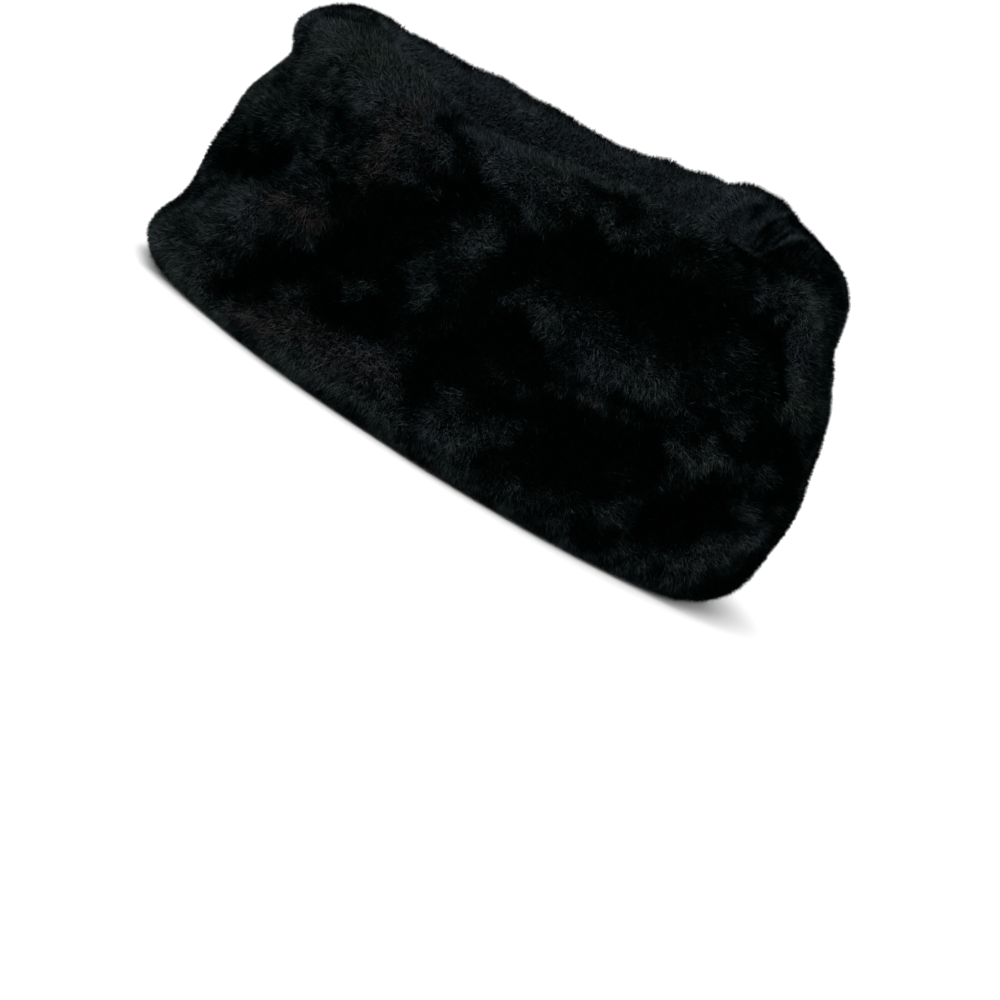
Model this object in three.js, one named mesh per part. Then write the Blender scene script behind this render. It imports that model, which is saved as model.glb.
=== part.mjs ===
// Soft black fur hat: a tall oval side band with a turned-under hem and a rolled top edge,
// closed by an oval crown that lies sunk inside the roll.
// Millimetres. The front is -Y, the wearer's left side is +X, and the hem rests on z = 0
// with the origin under the middle of the hat.
import * as THREE from 'three';

// Driving sizes
const WALL = 12;               // pile, skin and lining of the side band together
const OPENING_LENGTH = 194;    // head opening inside the hem, front to back
const OPENING_WIDTH = 158;     // head opening inside the hem, side to side
const HEM_SHOULDER = 9;        // height of the slope from the hem's top out to the thinner wall
const ARCH_DROP = 14;          // height of the rounded inner corner between wall and crown
const RECESS_DEPTH = 24;       // how far the crown's edge lies below the crest of the roll
const RECESS_SLOPE = 10;       // how far in the roll's inner side goes on its way down
const CROWN_THICKNESS = 8;     // pile, skin and lining of the crown
const CROWN_PUFF = 5;          // rise of the soft crown in its middle
const CROWN_STEP = 1;          // the crown's edge lies this far below the roll's lower end
const GAP = 0.3;               // clearance between the band and the crown
const LINING_FOLLOWS = 0.6;    // share of each outer fold that the inner side takes
const MM_PER_DEGREE = 1.9;     // girth of the band for one degree round it
const FOLD_BLEND = 4;          // how sharply the deepest of several meeting folds wins
const FOOT_FLAT = 1;           // girth up to which the foot keeps clear of folds
const FOOT_FADE = 6;           // girth over which folds grow to their full size above the foot
const SEAM_FADE = 10;          // girth over which folds die out towards the crown's seam

// Fineness of the meshes
const AROUND = 108;
const WALL_ROWS = 14;
const ROLL_ROWS = 5;
const RECESS_ROWS = 4;
const UNDERSIDE_ROWS = 3;
const LINING_ROWS = 5;
const CROWN_RINGS = 5;
const WALL_ROW_GROWTH = 1.2;   // rows lie closer together near the hem

const table = (columns, rows) =>
  rows.map((row) => Object.fromEntries(columns.map((column, i) => [column, row[i]])));

// How far the outer wall reaches from the middle at each height
const REACH = table(['height', 'front', 'back', 'side'], [
  [0, 107.0, 105.0, 89.0],
  [3, 115.0, 113.0, 94.5],
  [7, 120.5, 118.0, 98.0],
  [13, 122.0, 120.5, 100.0],
  [21, 119.5, 121.2, 101.0],
  [28, 117.8, 121.6, 101.0],
  [36, 118.0, 123.2, 101.0],
  [46, 118.3, 122.2, 101.5],
  [58, 118.4, 119.3, 102.0],
  [70, 116.5, 116.5, 101.0],
  [80, 113.3, 113.0, 99.5],
  [88, 113.0, 108.7, 98.5],
  [97, 115.0, 104.2, 97.5],
  [110, 115.0, 101.0, 96.0],
]);

// The rolled top edge at each angle from the front, turning towards the wearer's left:
// height of its crest, how far in from the wall the crest lies, and how far below it the roll begins
const CREST = table(['angle', 'height', 'inset', 'rise'], [
  [0, 113.0, 22, 16],
  [30, 111.5, 22, 16],
  [50, 106.5, 22, 16],
  [65, 104.0, 22, 16],
  [85, 108.0, 22, 17],
  [100, 112.0, 23, 18],
  [120, 114.0, 24, 19],
  [141, 116.0, 26, 22],
  [160, 124.0, 28, 27],
  [180, 129.0, 29, 30],
  [200, 129.0, 28, 28],
  [222, 130.0, 26, 26],
  [244, 122.6, 23, 21],
  [261, 116.0, 22, 18],
  [278, 113.0, 22, 17],
  [294, 112.0, 22, 16],
  [324, 110.5, 22, 16],
]);

// Inner face of the turned-under hem: height, and how far it stands back from the opening
const HEM_INSIDE = table(['height', 'back'], [
  [28, 3],
  [23, 0],
  [14, -0.5],
  [5.4, 0],
  [1.5, 1],
  [0, 3],
]);

// Folds of the band, each a soft stroke from one place to another. Girth is measured up the
// outside from the floor and on over the roll; spread is the stroke's half width; a positive
// rise is a bulge and a negative one a hollow.
const FOLDS = table(['name', 'angle', 'girth', 'toAngle', 'toGirth', 'spread', 'rise'], [
  ['seam groove, upper', 18, 81, 36, 68, 5, -2.5],
  ['seam groove, lower', 36, 68, 59, 65, 5, -2.5],
  ['front hollow', 24, 47, 38, 61, 10, -6],
  ['brow crease, front', 45, 14, 56, 36, 7, -6],
  ['brow crease, back', 56, 36, 66, 67, 8, -8],
  ['brow ridge, front', 24, 12, 40, 38, 10, 4],
  ['brow ridge, back', 40, 38, 58, 61, 8, 4],
  ['cheek hollow', 63, 36, 72, 54, 15, -7],
  ['hollow below the front of the roll', 69, 78, 74, 88, 11, -6],
  ['tuft ridge', 81, 75, 78, 48, 8, 5],
  ['long fold, front', 84, 77, 99, 92, 11, -7],
  ['long fold, middle', 99, 92, 120, 98, 13, -8],
  ['long fold, back', 120, 98, 144, 97, 11, -6],
  ['short fold, lower', 84, 21, 88, 41, 8, -6],
  ['short fold, upper', 88, 41, 94, 55, 9, -6],
  ['belly hollow', 106, 30, 121, 44, 14, -4],
  ['hem hollow', 132, 24, 140, 44, 9, -6],
  ['back hollow', 148, 65, 154, 42, 9, -5],
  ['waist bulge', 101, 73, 118, 66, 12, 4],
  ['low bulge', 128, 50, 141, 54, 8, 4],
  ['hem bulge, front', 63, 13, 82, 19, 10, 4],
  ['hem bulge, middle', 90, 13, 114, 16, 10, 3],
  ['hem bulge, back', 146, 14, 156, 34, 9, 3],
  ['back strip', 148, 114, 162, 81, 9, 3],
  ['roll bulge, front', 70, 102, 100, 119, 8, 3],
  ['roll bulge, back', 100, 119, 132, 124, 8, 2],
  ['front lobe', 30, 110, 58, 91, 12, 3],
  ['temple dent', 34, 81, 42, 83, 8, -3],
  ['nape hollow', 194, 72, 214, 62, 9, -4],
  ['nape bulge', 194, 38, 212, 42, 12, 2],
  ['right hem hollow', 216, 28, 228, 46, 10, -5],
  ['right long fold, back', 226, 88, 250, 76, 9, -7],
  ['right long fold, front', 250, 76, 274, 84, 9, -6],
  ['right waist bulge', 246, 52, 268, 46, 13, 3],
  ['right hem bulge', 250, 14, 286, 18, 10, 3],
  ['right brow crease', 306, 30, 292, 66, 8, -7],
  ['right brow ridge', 322, 34, 308, 68, 10, 4],
  ['right temple dent', 330, 78, 342, 84, 9, -3],
]);

// Soft dents of the crown, each a stroke across the oval
const CROWN_FOLDS = table(['name', 'x', 'y', 'toX', 'toY', 'spread', 'rise'], [
  ['front sag', -16, -48, 22, -34, 14, -3],
  ['left ripple', 30, -4, 24, 30, 10, 2],
  ['right sag', -34, 6, -22, 34, 12, -3],
]);

const FUR_MATERIAL = { color: 0x131617, roughness: 0.92, metalness: 0 };

const radians = THREE.MathUtils.degToRad;
const clamp = THREE.MathUtils.clamp;

// Smooth curve through one column of a table, a cubic with the slopes of its neighbours
function smooth(rows, key, column, at, period = 0) {
  let points = rows.map((row) => [row[key], row[column]]);
  let x = at;
  if (period) {
    x = ((at % period) + period) % period;
    const before = points.slice(-2).map(([k, v]) => [k - period, v]);
    const after = points.slice(0, 3).map(([k, v]) => [k + period, v]);
    points = [...before, ...points, ...after];
  }
  const last = points.length - 1;
  x = clamp(x, points[0][0], points[last][0]);
  let i = 0;
  while (i < last - 1 && points[i + 1][0] <= x) i += 1;
  const rate = (k) => (points[k + 1][1] - points[k][1]) / (points[k + 1][0] - points[k][0]);
  const width = (k) => points[k + 1][0] - points[k][0];
  const slope = (k) => {
    if (k === 0) return rate(0);
    if (k === last) return rate(last - 1);
    return (rate(k - 1) * width(k) + rate(k) * width(k - 1)) / (width(k - 1) + width(k));
  };
  const span = width(i);
  const t = (x - points[i][0]) / span;
  return (2 * t ** 3 - 3 * t ** 2 + 1) * points[i][1]
    + (t ** 3 - 2 * t ** 2 + t) * span * slope(i)
    + (3 * t ** 2 - 2 * t ** 3) * points[i + 1][1]
    + (t ** 3 - t ** 2) * span * slope(i + 1);
}

// Point of an oval of half lengths front, back and side at an angle, with the way out of it
function oval(front, back, side, angle) {
  const sin = Math.sin(radians(angle));
  const cos = Math.cos(radians(angle));
  const end = cos >= 0 ? front : back;
  return {
    point: new THREE.Vector3(side * sin, -end * cos, 0),
    out: new THREE.Vector3(end * sin, -side * cos, 0).normalize(),
  };
}

const wallOval = (angle, height) => oval(
  smooth(REACH, 'height', 'front', height),
  smooth(REACH, 'height', 'back', height),
  smooth(REACH, 'height', 'side', height),
  angle,
);

const openingOval = (angle) =>
  oval(OPENING_LENGTH / 2, OPENING_LENGTH / 2, OPENING_WIDTH / 2, angle);

// The roll's sizes at an angle, with the girth of each stretch of the outside
function rollAt(angle) {
  const crest = smooth(CREST, 'angle', 'height', angle, 360);
  const inset = smooth(CREST, 'angle', 'inset', angle, 360);
  const rise = smooth(CREST, 'angle', 'rise', angle, 360);
  return {
    crest,
    inset,
    rise,
    wall: crest - rise,
    over: Math.PI / 2 * Math.sqrt((inset ** 2 + rise ** 2) / 2),
    down: Math.PI / 2 * Math.sqrt((RECESS_SLOPE ** 2 + RECESS_DEPTH ** 2) / 2),
  };
}

// Size of one soft stroke at a place (x, y) seen from its start; it runs on to (dx, dy)
function stroke(x, y, dx, dy, spread, size) {
  const along = clamp((x * dx + y * dy) / Math.max(dx * dx + dy * dy, 1e-6), 0, 1);
  const away = (x - along * dx) ** 2 + (y - along * dy) ** 2;
  return size * Math.exp(-away / spread ** 2);
}

// Several strokes together: where some meet, the largest wins softly instead of all adding up
function blend(sizes) {
  return sizes.reduce((sum, size) => sum + size ** FOLD_BLEND, 0) ** (1 / FOLD_BLEND);
}

function foldedHeight(folds, strokeSize) {
  const sizes = (sign) => folds
    .filter((fold) => Math.sign(fold.rise) === sign)
    .map((fold) => strokeSize(fold, Math.abs(fold.rise)));
  return blend(sizes(1)) - blend(sizes(-1));
}

const turn = (degrees) => ((degrees + 540) % 360) - 180;

const bandFold = (angle, girth) => foldedHeight(FOLDS, (fold, size) => stroke(
  turn(angle - fold.angle) * MM_PER_DEGREE,
  girth - fold.girth,
  turn(fold.toAngle - fold.angle) * MM_PER_DEGREE,
  fold.toGirth - fold.girth,
  fold.spread,
  size,
));

// Folds die out at the foot, which stays flat, and at the seam with the crown
function foldShare(girth, roll) {
  const aboveFoot = clamp((girth - FOOT_FLAT) / FOOT_FADE, 0, 1);
  const fromSeam = clamp((roll.wall + roll.over + roll.down - girth) / SEAM_FADE, 0, 1);
  return aboveFoot * fromSeam;
}

// Outside of the band at an angle and girth: up the wall, over the roll and down into the recess
function outside(angle, girth) {
  const roll = rollAt(angle);
  const over = clamp((girth - roll.wall) / roll.over, 0, 1) * Math.PI / 2;
  const down = clamp((girth - roll.wall - roll.over) / roll.down, 0, 1) * Math.PI / 2;
  const { point, out } = wallOval(angle, Math.min(girth, roll.wall));
  const inward = roll.inset * (1 - Math.cos(over)) + RECESS_SLOPE * Math.sin(down);
  const height = girth < roll.wall ? girth : roll.wall + roll.rise * Math.sin(over);
  point.z = height - RECESS_DEPTH * (1 - Math.cos(down));
  const facing = out.clone().multiplyScalar(Math.cos(over + down));
  facing.z = Math.sin(over + down);
  return point
    .addScaledVector(out, -inward)
    .addScaledVector(facing, bandFold(angle, girth) * foldShare(girth, roll));
}

// Inner side of the wall, which follows the outside more tamely
function lining(angle, height) {
  const { point, out } = wallOval(angle, height);
  point.z = height;
  return point.addScaledVector(out, -WALL + LINING_FOLLOWS * bandFold(angle, height));
}

// The seam between roll and crown: a place on its oval, moved in by a clearance
function seam(angle, height, clearance = 0) {
  const roll = rollAt(angle);
  const { point, out } = wallOval(angle, roll.wall);
  point.z = roll.crest - RECESS_DEPTH + height;
  return point.addScaledVector(out, -(roll.inset + RECESS_SLOPE + clearance));
}

// Inside of the hem: an upright face with a rounded lower edge
function hemInside(angle, row) {
  const { point, out } = openingOval(angle);
  point.z = row.height;
  return point.addScaledVector(out, row.back);
}

// One closed section of the band, from the foot's outer corner up the outside and back inside
function bandSection(angle) {
  const roll = rollAt(angle);
  const steps = (count) => Array.from({ length: count }, (_, i) => (i + 1) / count);
  const seamBottom = seam(angle, -CROWN_STEP - CROWN_THICKNESS);
  const liningTop = seamBottom.z - ARCH_DROP;
  const liningTopPoint = lining(angle, liningTop);
  const liningFoot = HEM_INSIDE[0].height + HEM_SHOULDER;

  const wall = steps(WALL_ROWS).map((t) => outside(angle, roll.wall * t ** WALL_ROW_GROWTH));
  const over = steps(ROLL_ROWS).map((t) => outside(angle, roll.wall + roll.over * t));
  const down = steps(RECESS_ROWS)
    .map((t) => outside(angle, roll.wall + roll.over + roll.down * t));
  const underside = steps(UNDERSIDE_ROWS).map((t) => {
    const bend = t * Math.PI / 2;
    const point = seamBottom.clone().lerp(liningTopPoint, Math.sin(bend));
    point.z = seamBottom.z + (liningTop - seamBottom.z) * (1 - Math.cos(bend));
    return point;
  });
  const liningRows = steps(LINING_ROWS)
    .map((t) => lining(angle, liningTop + (liningFoot - liningTop) * t));
  return [
    outside(angle, 0),
    ...wall,
    ...over,
    ...down,
    seamBottom,
    ...underside,
    ...liningRows,
    ...HEM_INSIDE.map((row) => hemInside(angle, row)),
  ];
}

const crownFold = (x, y) => foldedHeight(CROWN_FOLDS, (fold, size) => stroke(
  x - fold.x,
  y - fold.y,
  fold.toX - fold.x,
  fold.toY - fold.y,
  fold.spread,
  size,
));

// One half section of the crown from the middle of its underside, out to the rim and back on top
function crownSection(angle, middle) {
  const rim = seam(angle, -CROWN_STEP, GAP);
  const at = (share, drop) => {
    const point = middle.clone().lerp(rim, share);
    const swell = 1 - share ** 2;
    point.z = middle.z + (rim.z - middle.z) * share ** 2 + CROWN_PUFF * swell;
    point.z += crownFold(point.x, point.y) * swell - drop;
    return point;
  };
  const shares = Array.from({ length: CROWN_RINGS }, (_, i) => (i + 1) / CROWN_RINGS);
  return [
    ...shares.map((share) => at(share, CROWN_THICKNESS)),
    ...shares.reverse().map((share) => at(share, 0)),
  ];
}

// Faces of the strip between two neighbouring sections, both listed in the same order
function sew(faces, sections, rows, closed) {
  for (let i = 0; i < sections; i += 1) {
    const next = (i + 1) % sections;
    for (let k = 0; k < (closed ? rows : rows - 1); k += 1) {
      const above = (k + 1) % rows;
      const a = i * rows + k;
      const b = next * rows + k;
      const c = next * rows + above;
      const d = i * rows + above;
      faces.push(a, b, c, a, c, d);
    }
  }
}

function mesh(name, points, faces) {
  const geometry = new THREE.BufferGeometry();
  const places = points.flatMap((point) => [point.x, point.y, point.z]);
  geometry.setAttribute('position', new THREE.Float32BufferAttribute(places, 3));
  geometry.setIndex(faces);
  geometry.computeVertexNormals();
  const material = new THREE.MeshStandardMaterial(FUR_MATERIAL);
  const body = new THREE.Mesh(geometry, material);
  body.name = name;
  return body;
}

const angles = Array.from({ length: AROUND }, (_, i) => i * 360 / AROUND);

function sideBand() {
  const sections = angles.map((angle) => bandSection(angle));
  const faces = [];
  sew(faces, AROUND, sections[0].length, true);
  return mesh('side_band', sections.flat(), faces);
}

function crownTop() {
  const rims = angles.map((angle) => seam(angle, -CROWN_STEP));
  const middle = rims.reduce((sum, rim) => sum.add(rim), new THREE.Vector3())
    .divideScalar(AROUND);
  const sections = angles.map((angle) => crownSection(angle, middle));
  const rows = sections[0].length;
  const faces = [];
  sew(faces, AROUND, rows, false);

  // The middle of the top and of the underside close the two fans
  const top = middle.clone();
  top.z += CROWN_PUFF + crownFold(middle.x, middle.y);
  const bottom = top.clone();
  bottom.z -= CROWN_THICKNESS;
  const topIndex = AROUND * rows;
  for (let i = 0; i < AROUND; i += 1) {
    const next = (i + 1) % AROUND;
    faces.push(topIndex, i * rows + rows - 1, next * rows + rows - 1);
    faces.push(topIndex + 1, next * rows, i * rows);
  }
  return mesh('crown_top', [...sections.flat(), top, bottom], faces);
}

const group = new THREE.Group();
group.name = 'fur_hat';
group.add(sideBand());
group.add(crownTop());

export default group;
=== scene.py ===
"""A soft black fur hat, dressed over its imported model: skin, lining, and a short dense pile."""
import math

import bpy
import numpy as np
from mathutils import Matrix, Vector


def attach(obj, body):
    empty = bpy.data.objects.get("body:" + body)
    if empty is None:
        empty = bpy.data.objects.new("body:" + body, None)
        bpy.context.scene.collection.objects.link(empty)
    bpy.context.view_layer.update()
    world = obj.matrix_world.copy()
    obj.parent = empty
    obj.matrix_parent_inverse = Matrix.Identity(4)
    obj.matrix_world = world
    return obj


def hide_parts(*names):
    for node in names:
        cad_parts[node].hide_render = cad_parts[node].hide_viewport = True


bl_info = {
    "name": "Fur hat",
    "version": (1, 0, 0),
    "blender": (4, 5, 0),
    "location": "View3D > Sidebar > Fur hat",
    "description": "Builds a soft black fur hat and the studio that it stands in",
    "category": "Add Mesh",
}

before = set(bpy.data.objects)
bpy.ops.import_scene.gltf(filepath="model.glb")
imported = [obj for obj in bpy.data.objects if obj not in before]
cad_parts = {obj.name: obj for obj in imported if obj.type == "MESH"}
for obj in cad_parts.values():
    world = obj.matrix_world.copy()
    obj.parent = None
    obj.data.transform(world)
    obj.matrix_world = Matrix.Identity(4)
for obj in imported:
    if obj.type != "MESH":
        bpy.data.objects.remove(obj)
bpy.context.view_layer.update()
BODY = "root"
BAND = "side_band"
CROWN = "crown_top"

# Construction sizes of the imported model, in millimetres
MM = 0.001
WALL = 12
OPENING_LENGTH = 194
OPENING_WIDTH = 158
HEM_SHOULDER = 9
ARCH_DROP = 14
RECESS_DEPTH = 24
RECESS_SLOPE = 10
CROWN_THICKNESS = 8
CROWN_PUFF = 5
CROWN_STEP = 1
GAP = 0.3
LINING_FOLLOWS = 0.6
MM_PER_DEGREE = 1.9
FOLD_BLEND = 4
FOOT_FLAT = 1
FOOT_FADE = 6
SEAM_FADE = 10
RIM_SECTIONS = 108

# Fineness of the shells and of the grids that the pile is planted on
SKIN_AROUND = 330
SKIN_ROWS = 104
ARCH_ROWS = 4
LINING_ROWS = 8
CROWN_SKIN_ROWS = 20
PLANT_AROUND = 720
PLANT_ROWS = 300
CROWN_PLANT_ROWS = 90
HEM_PLANT_ROWS = 44
UNDERSIDE_ROWS = 8

# Skin and pile, in millimetres: how high the skin stays above the floor and how high the pile goes
# inside the hem; how deep the skin lies at the foot and how far up it gets its full depth; the
# lumps of crushed pile, the fine ones' share, where they start on the band and how soon they are
# whole; and a shift that keeps the crown's noise on one side of its lattice's start
FLOOR_CLEAR = 1
HEM_PILE_TOP = 22
FOOT_SKIN_DEPTH = 1
FOOT_SKIN_REACH = 14
BAND_LUMPS = (13, 6)
CROWN_LUMPS = (15, 7)
FINE_LUMPS = 0.45
LUMPS_START = 4
LUMPS_FADE = 10
NOISE_SHIFT = 300

# Painted light against shade, in millimetres of girth: how far up the shaded foot the hairs are
# painted paler, how far up they are painted paler still for its deep shade, how far the nap turns up
# there, and how soon the recess begins, whose hairs are painted a little paler too
FOOT_SHADE = 13
FOOT_DEEP_SHADE = 4
FOOT_TURN = 3
RECESS_START = 8

# How hairs vary: a tuft's jitter as a share of its width, its lean and turn in degrees, the
# spread of lengths by tuft and hair, the range of widths, the steepest lean in degrees, and in
# millimetres how far roots are sunk, the lowest root, and the range of the lowest tips
TUFT_JITTER = 0.35
TUFT_LEAN = 6
TUFT_TURN = 14
TUFT_LENGTHS = 0.1
HAIR_LENGTHS = 0.14
HAIR_WIDTHS = (0.6, 1.3)
MOST_LEAN = 80
ROOT_SUNK = 0.3
LOWEST_ROOT = 0.1
LOWEST_TIPS = (0.2, 0.9)

# Lamps, in metres: their places, their width, and the height on the hat that they look at
KEY_PLACE = (1.5, -0.5, 1.7)
TOP_PLACE = (-0.3, -0.4, 2.0)
LAMP_SIZE = 1.6
LAMP_AIM = 0.06


def table(columns, rows):
    """Rows of names and numbers as one array for each named column."""
    return {name: np.array([row[i] for row in rows]) for i, name in enumerate(columns)}


# How far the outer wall reaches from the middle at each height
REACH = table(("height", "front", "back", "side"), [
    (0, 107.0, 105.0, 89.0),
    (3, 115.0, 113.0, 94.5),
    (7, 120.5, 118.0, 98.0),
    (13, 122.0, 120.5, 100.0),
    (21, 119.5, 121.2, 101.0),
    (28, 117.8, 121.6, 101.0),
    (36, 118.0, 123.2, 101.0),
    (46, 118.3, 122.2, 101.5),
    (58, 118.4, 119.3, 102.0),
    (70, 116.5, 116.5, 101.0),
    (80, 113.3, 113.0, 99.5),
    (88, 113.0, 108.7, 98.5),
    (97, 115.0, 104.2, 97.5),
    (110, 115.0, 101.0, 96.0),
])

# The rolled top edge at each angle from the front, turning towards the wearer's left
CREST = table(("angle", "height", "inset", "rise"), [
    (0, 113.0, 22, 16),
    (30, 111.5, 22, 16),
    (50, 106.5, 22, 16),
    (65, 104.0, 22, 16),
    (85, 108.0, 22, 17),
    (100, 112.0, 23, 18),
    (120, 114.0, 24, 19),
    (141, 116.0, 26, 22),
    (160, 124.0, 28, 27),
    (180, 129.0, 29, 30),
    (200, 129.0, 28, 28),
    (222, 130.0, 26, 26),
    (244, 122.6, 23, 21),
    (261, 116.0, 22, 18),
    (278, 113.0, 22, 17),
    (294, 112.0, 22, 16),
    (324, 110.5, 22, 16),
])

# Inner face of the turned-under hem: height, and how far it stands back from the opening
HEM_INSIDE = table(("height", "back"), [
    (0, 3),
    (1.5, 1),
    (5.4, 0),
    (14, -0.5),
    (23, 0),
    (28, 3),
])

# Folds of the band: soft strokes from one angle and girth to another, where girth is measured
# up the outside from the floor; a rise is a bulge, a negative one a hollow
FOLDS = table(("name", "angle", "girth", "to_angle", "to_girth", "spread", "rise"), [
    ("seam groove, upper", 18, 81, 36, 68, 5, -2.5),
    ("seam groove, lower", 36, 68, 59, 65, 5, -2.5),
    ("front hollow", 24, 47, 38, 61, 10, -6),
    ("brow crease, front", 45, 14, 56, 36, 7, -6),
    ("brow crease, back", 56, 36, 66, 67, 8, -8),
    ("brow ridge, front", 24, 12, 40, 38, 10, 4),
    ("brow ridge, back", 40, 38, 58, 61, 8, 4),
    ("cheek hollow", 63, 36, 72, 54, 15, -7),
    ("hollow below the front of the roll", 69, 78, 74, 88, 11, -6),
    ("tuft ridge", 81, 75, 78, 48, 8, 5),
    ("long fold, front", 84, 77, 99, 92, 11, -7),
    ("long fold, middle", 99, 92, 120, 98, 13, -8),
    ("long fold, back", 120, 98, 144, 97, 11, -6),
    ("short fold, lower", 84, 21, 88, 41, 8, -6),
    ("short fold, upper", 88, 41, 94, 55, 9, -6),
    ("belly hollow", 106, 30, 121, 44, 14, -4),
    ("hem hollow", 132, 24, 140, 44, 9, -6),
    ("back hollow", 148, 65, 154, 42, 9, -5),
    ("waist bulge", 101, 73, 118, 66, 12, 4),
    ("low bulge", 128, 50, 141, 54, 8, 4),
    ("hem bulge, front", 63, 13, 82, 19, 10, 4),
    ("hem bulge, middle", 90, 13, 114, 16, 10, 3),
    ("hem bulge, back", 146, 14, 156, 34, 9, 3),
    ("back strip", 148, 114, 162, 81, 9, 3),
    ("roll bulge, front", 70, 102, 100, 119, 8, 3),
    ("roll bulge, back", 100, 119, 132, 124, 8, 2),
    ("front lobe", 30, 110, 58, 91, 12, 3),
    ("temple dent", 34, 81, 42, 83, 8, -3),
    ("nape hollow", 194, 72, 214, 62, 9, -4),
    ("nape bulge", 194, 38, 212, 42, 12, 2),
    ("right hem hollow", 216, 28, 228, 46, 10, -5),
    ("right long fold, back", 226, 88, 250, 76, 9, -7),
    ("right long fold, front", 250, 76, 274, 84, 9, -6),
    ("right waist bulge", 246, 52, 268, 46, 13, 3),
    ("right hem bulge", 250, 14, 286, 18, 10, 3),
    ("right brow crease", 306, 30, 292, 66, 8, -7),
    ("right brow ridge", 322, 34, 308, 68, 10, 4),
    ("right temple dent", 330, 78, 342, 84, 9, -3),
])

# Soft dents of the crown, each a stroke across the oval
CROWN_FOLDS = table(("name", "x", "y", "to_x", "to_y", "spread", "rise"), [
    ("front sag", -16, -48, 22, -34, 14, -3),
    ("left ripple", 30, -4, 24, 30, 10, 2),
    ("right sag", -34, 6, -22, 34, 12, -3),
])

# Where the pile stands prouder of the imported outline, above 0, or is worn closer to it, below 0.
# Places as in FOLDS
PROUD = table(("name", "angle", "girth", "to_angle", "to_girth", "spread", "rise"), [
    ("nose", 348, 10, 12, 22, 10, -1.2),
    ("face, low", 350, 54, 12, 54, 5, -1.2),
    ("face, middle", 350, 67, 12, 68, 5, 0.6),
    ("face, high", 350, 86, 12, 86, 5, -1.6),
    ("face, top", 350, 95, 12, 95, 4, 0.8),
    ("front lobe", 0, 112, 34, 116, 12, -2.0),
    ("near crest, front", 48, 122, 72, 124, 8, 2.0),
    ("near crest, middle", 76, 125, 98, 127, 8, 2.4),
    ("near crest, back", 102, 129, 122, 134, 8, 2.0),
    ("far crest, front", 284, 123, 296, 123, 9, 1.3),
    ("far crest, middle", 246, 132, 256, 129, 8, 1.8),
    ("far crest, back", 219, 141, 232, 138, 8, 1.5),
    ("back corner", 166, 138, 212, 141, 12, -2.0),
    ("nape", 168, 38, 176, 46, 8, 0.8),
    ("nape, foot", 160, 4, 194, 4, 8, -2.5),
])
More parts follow.
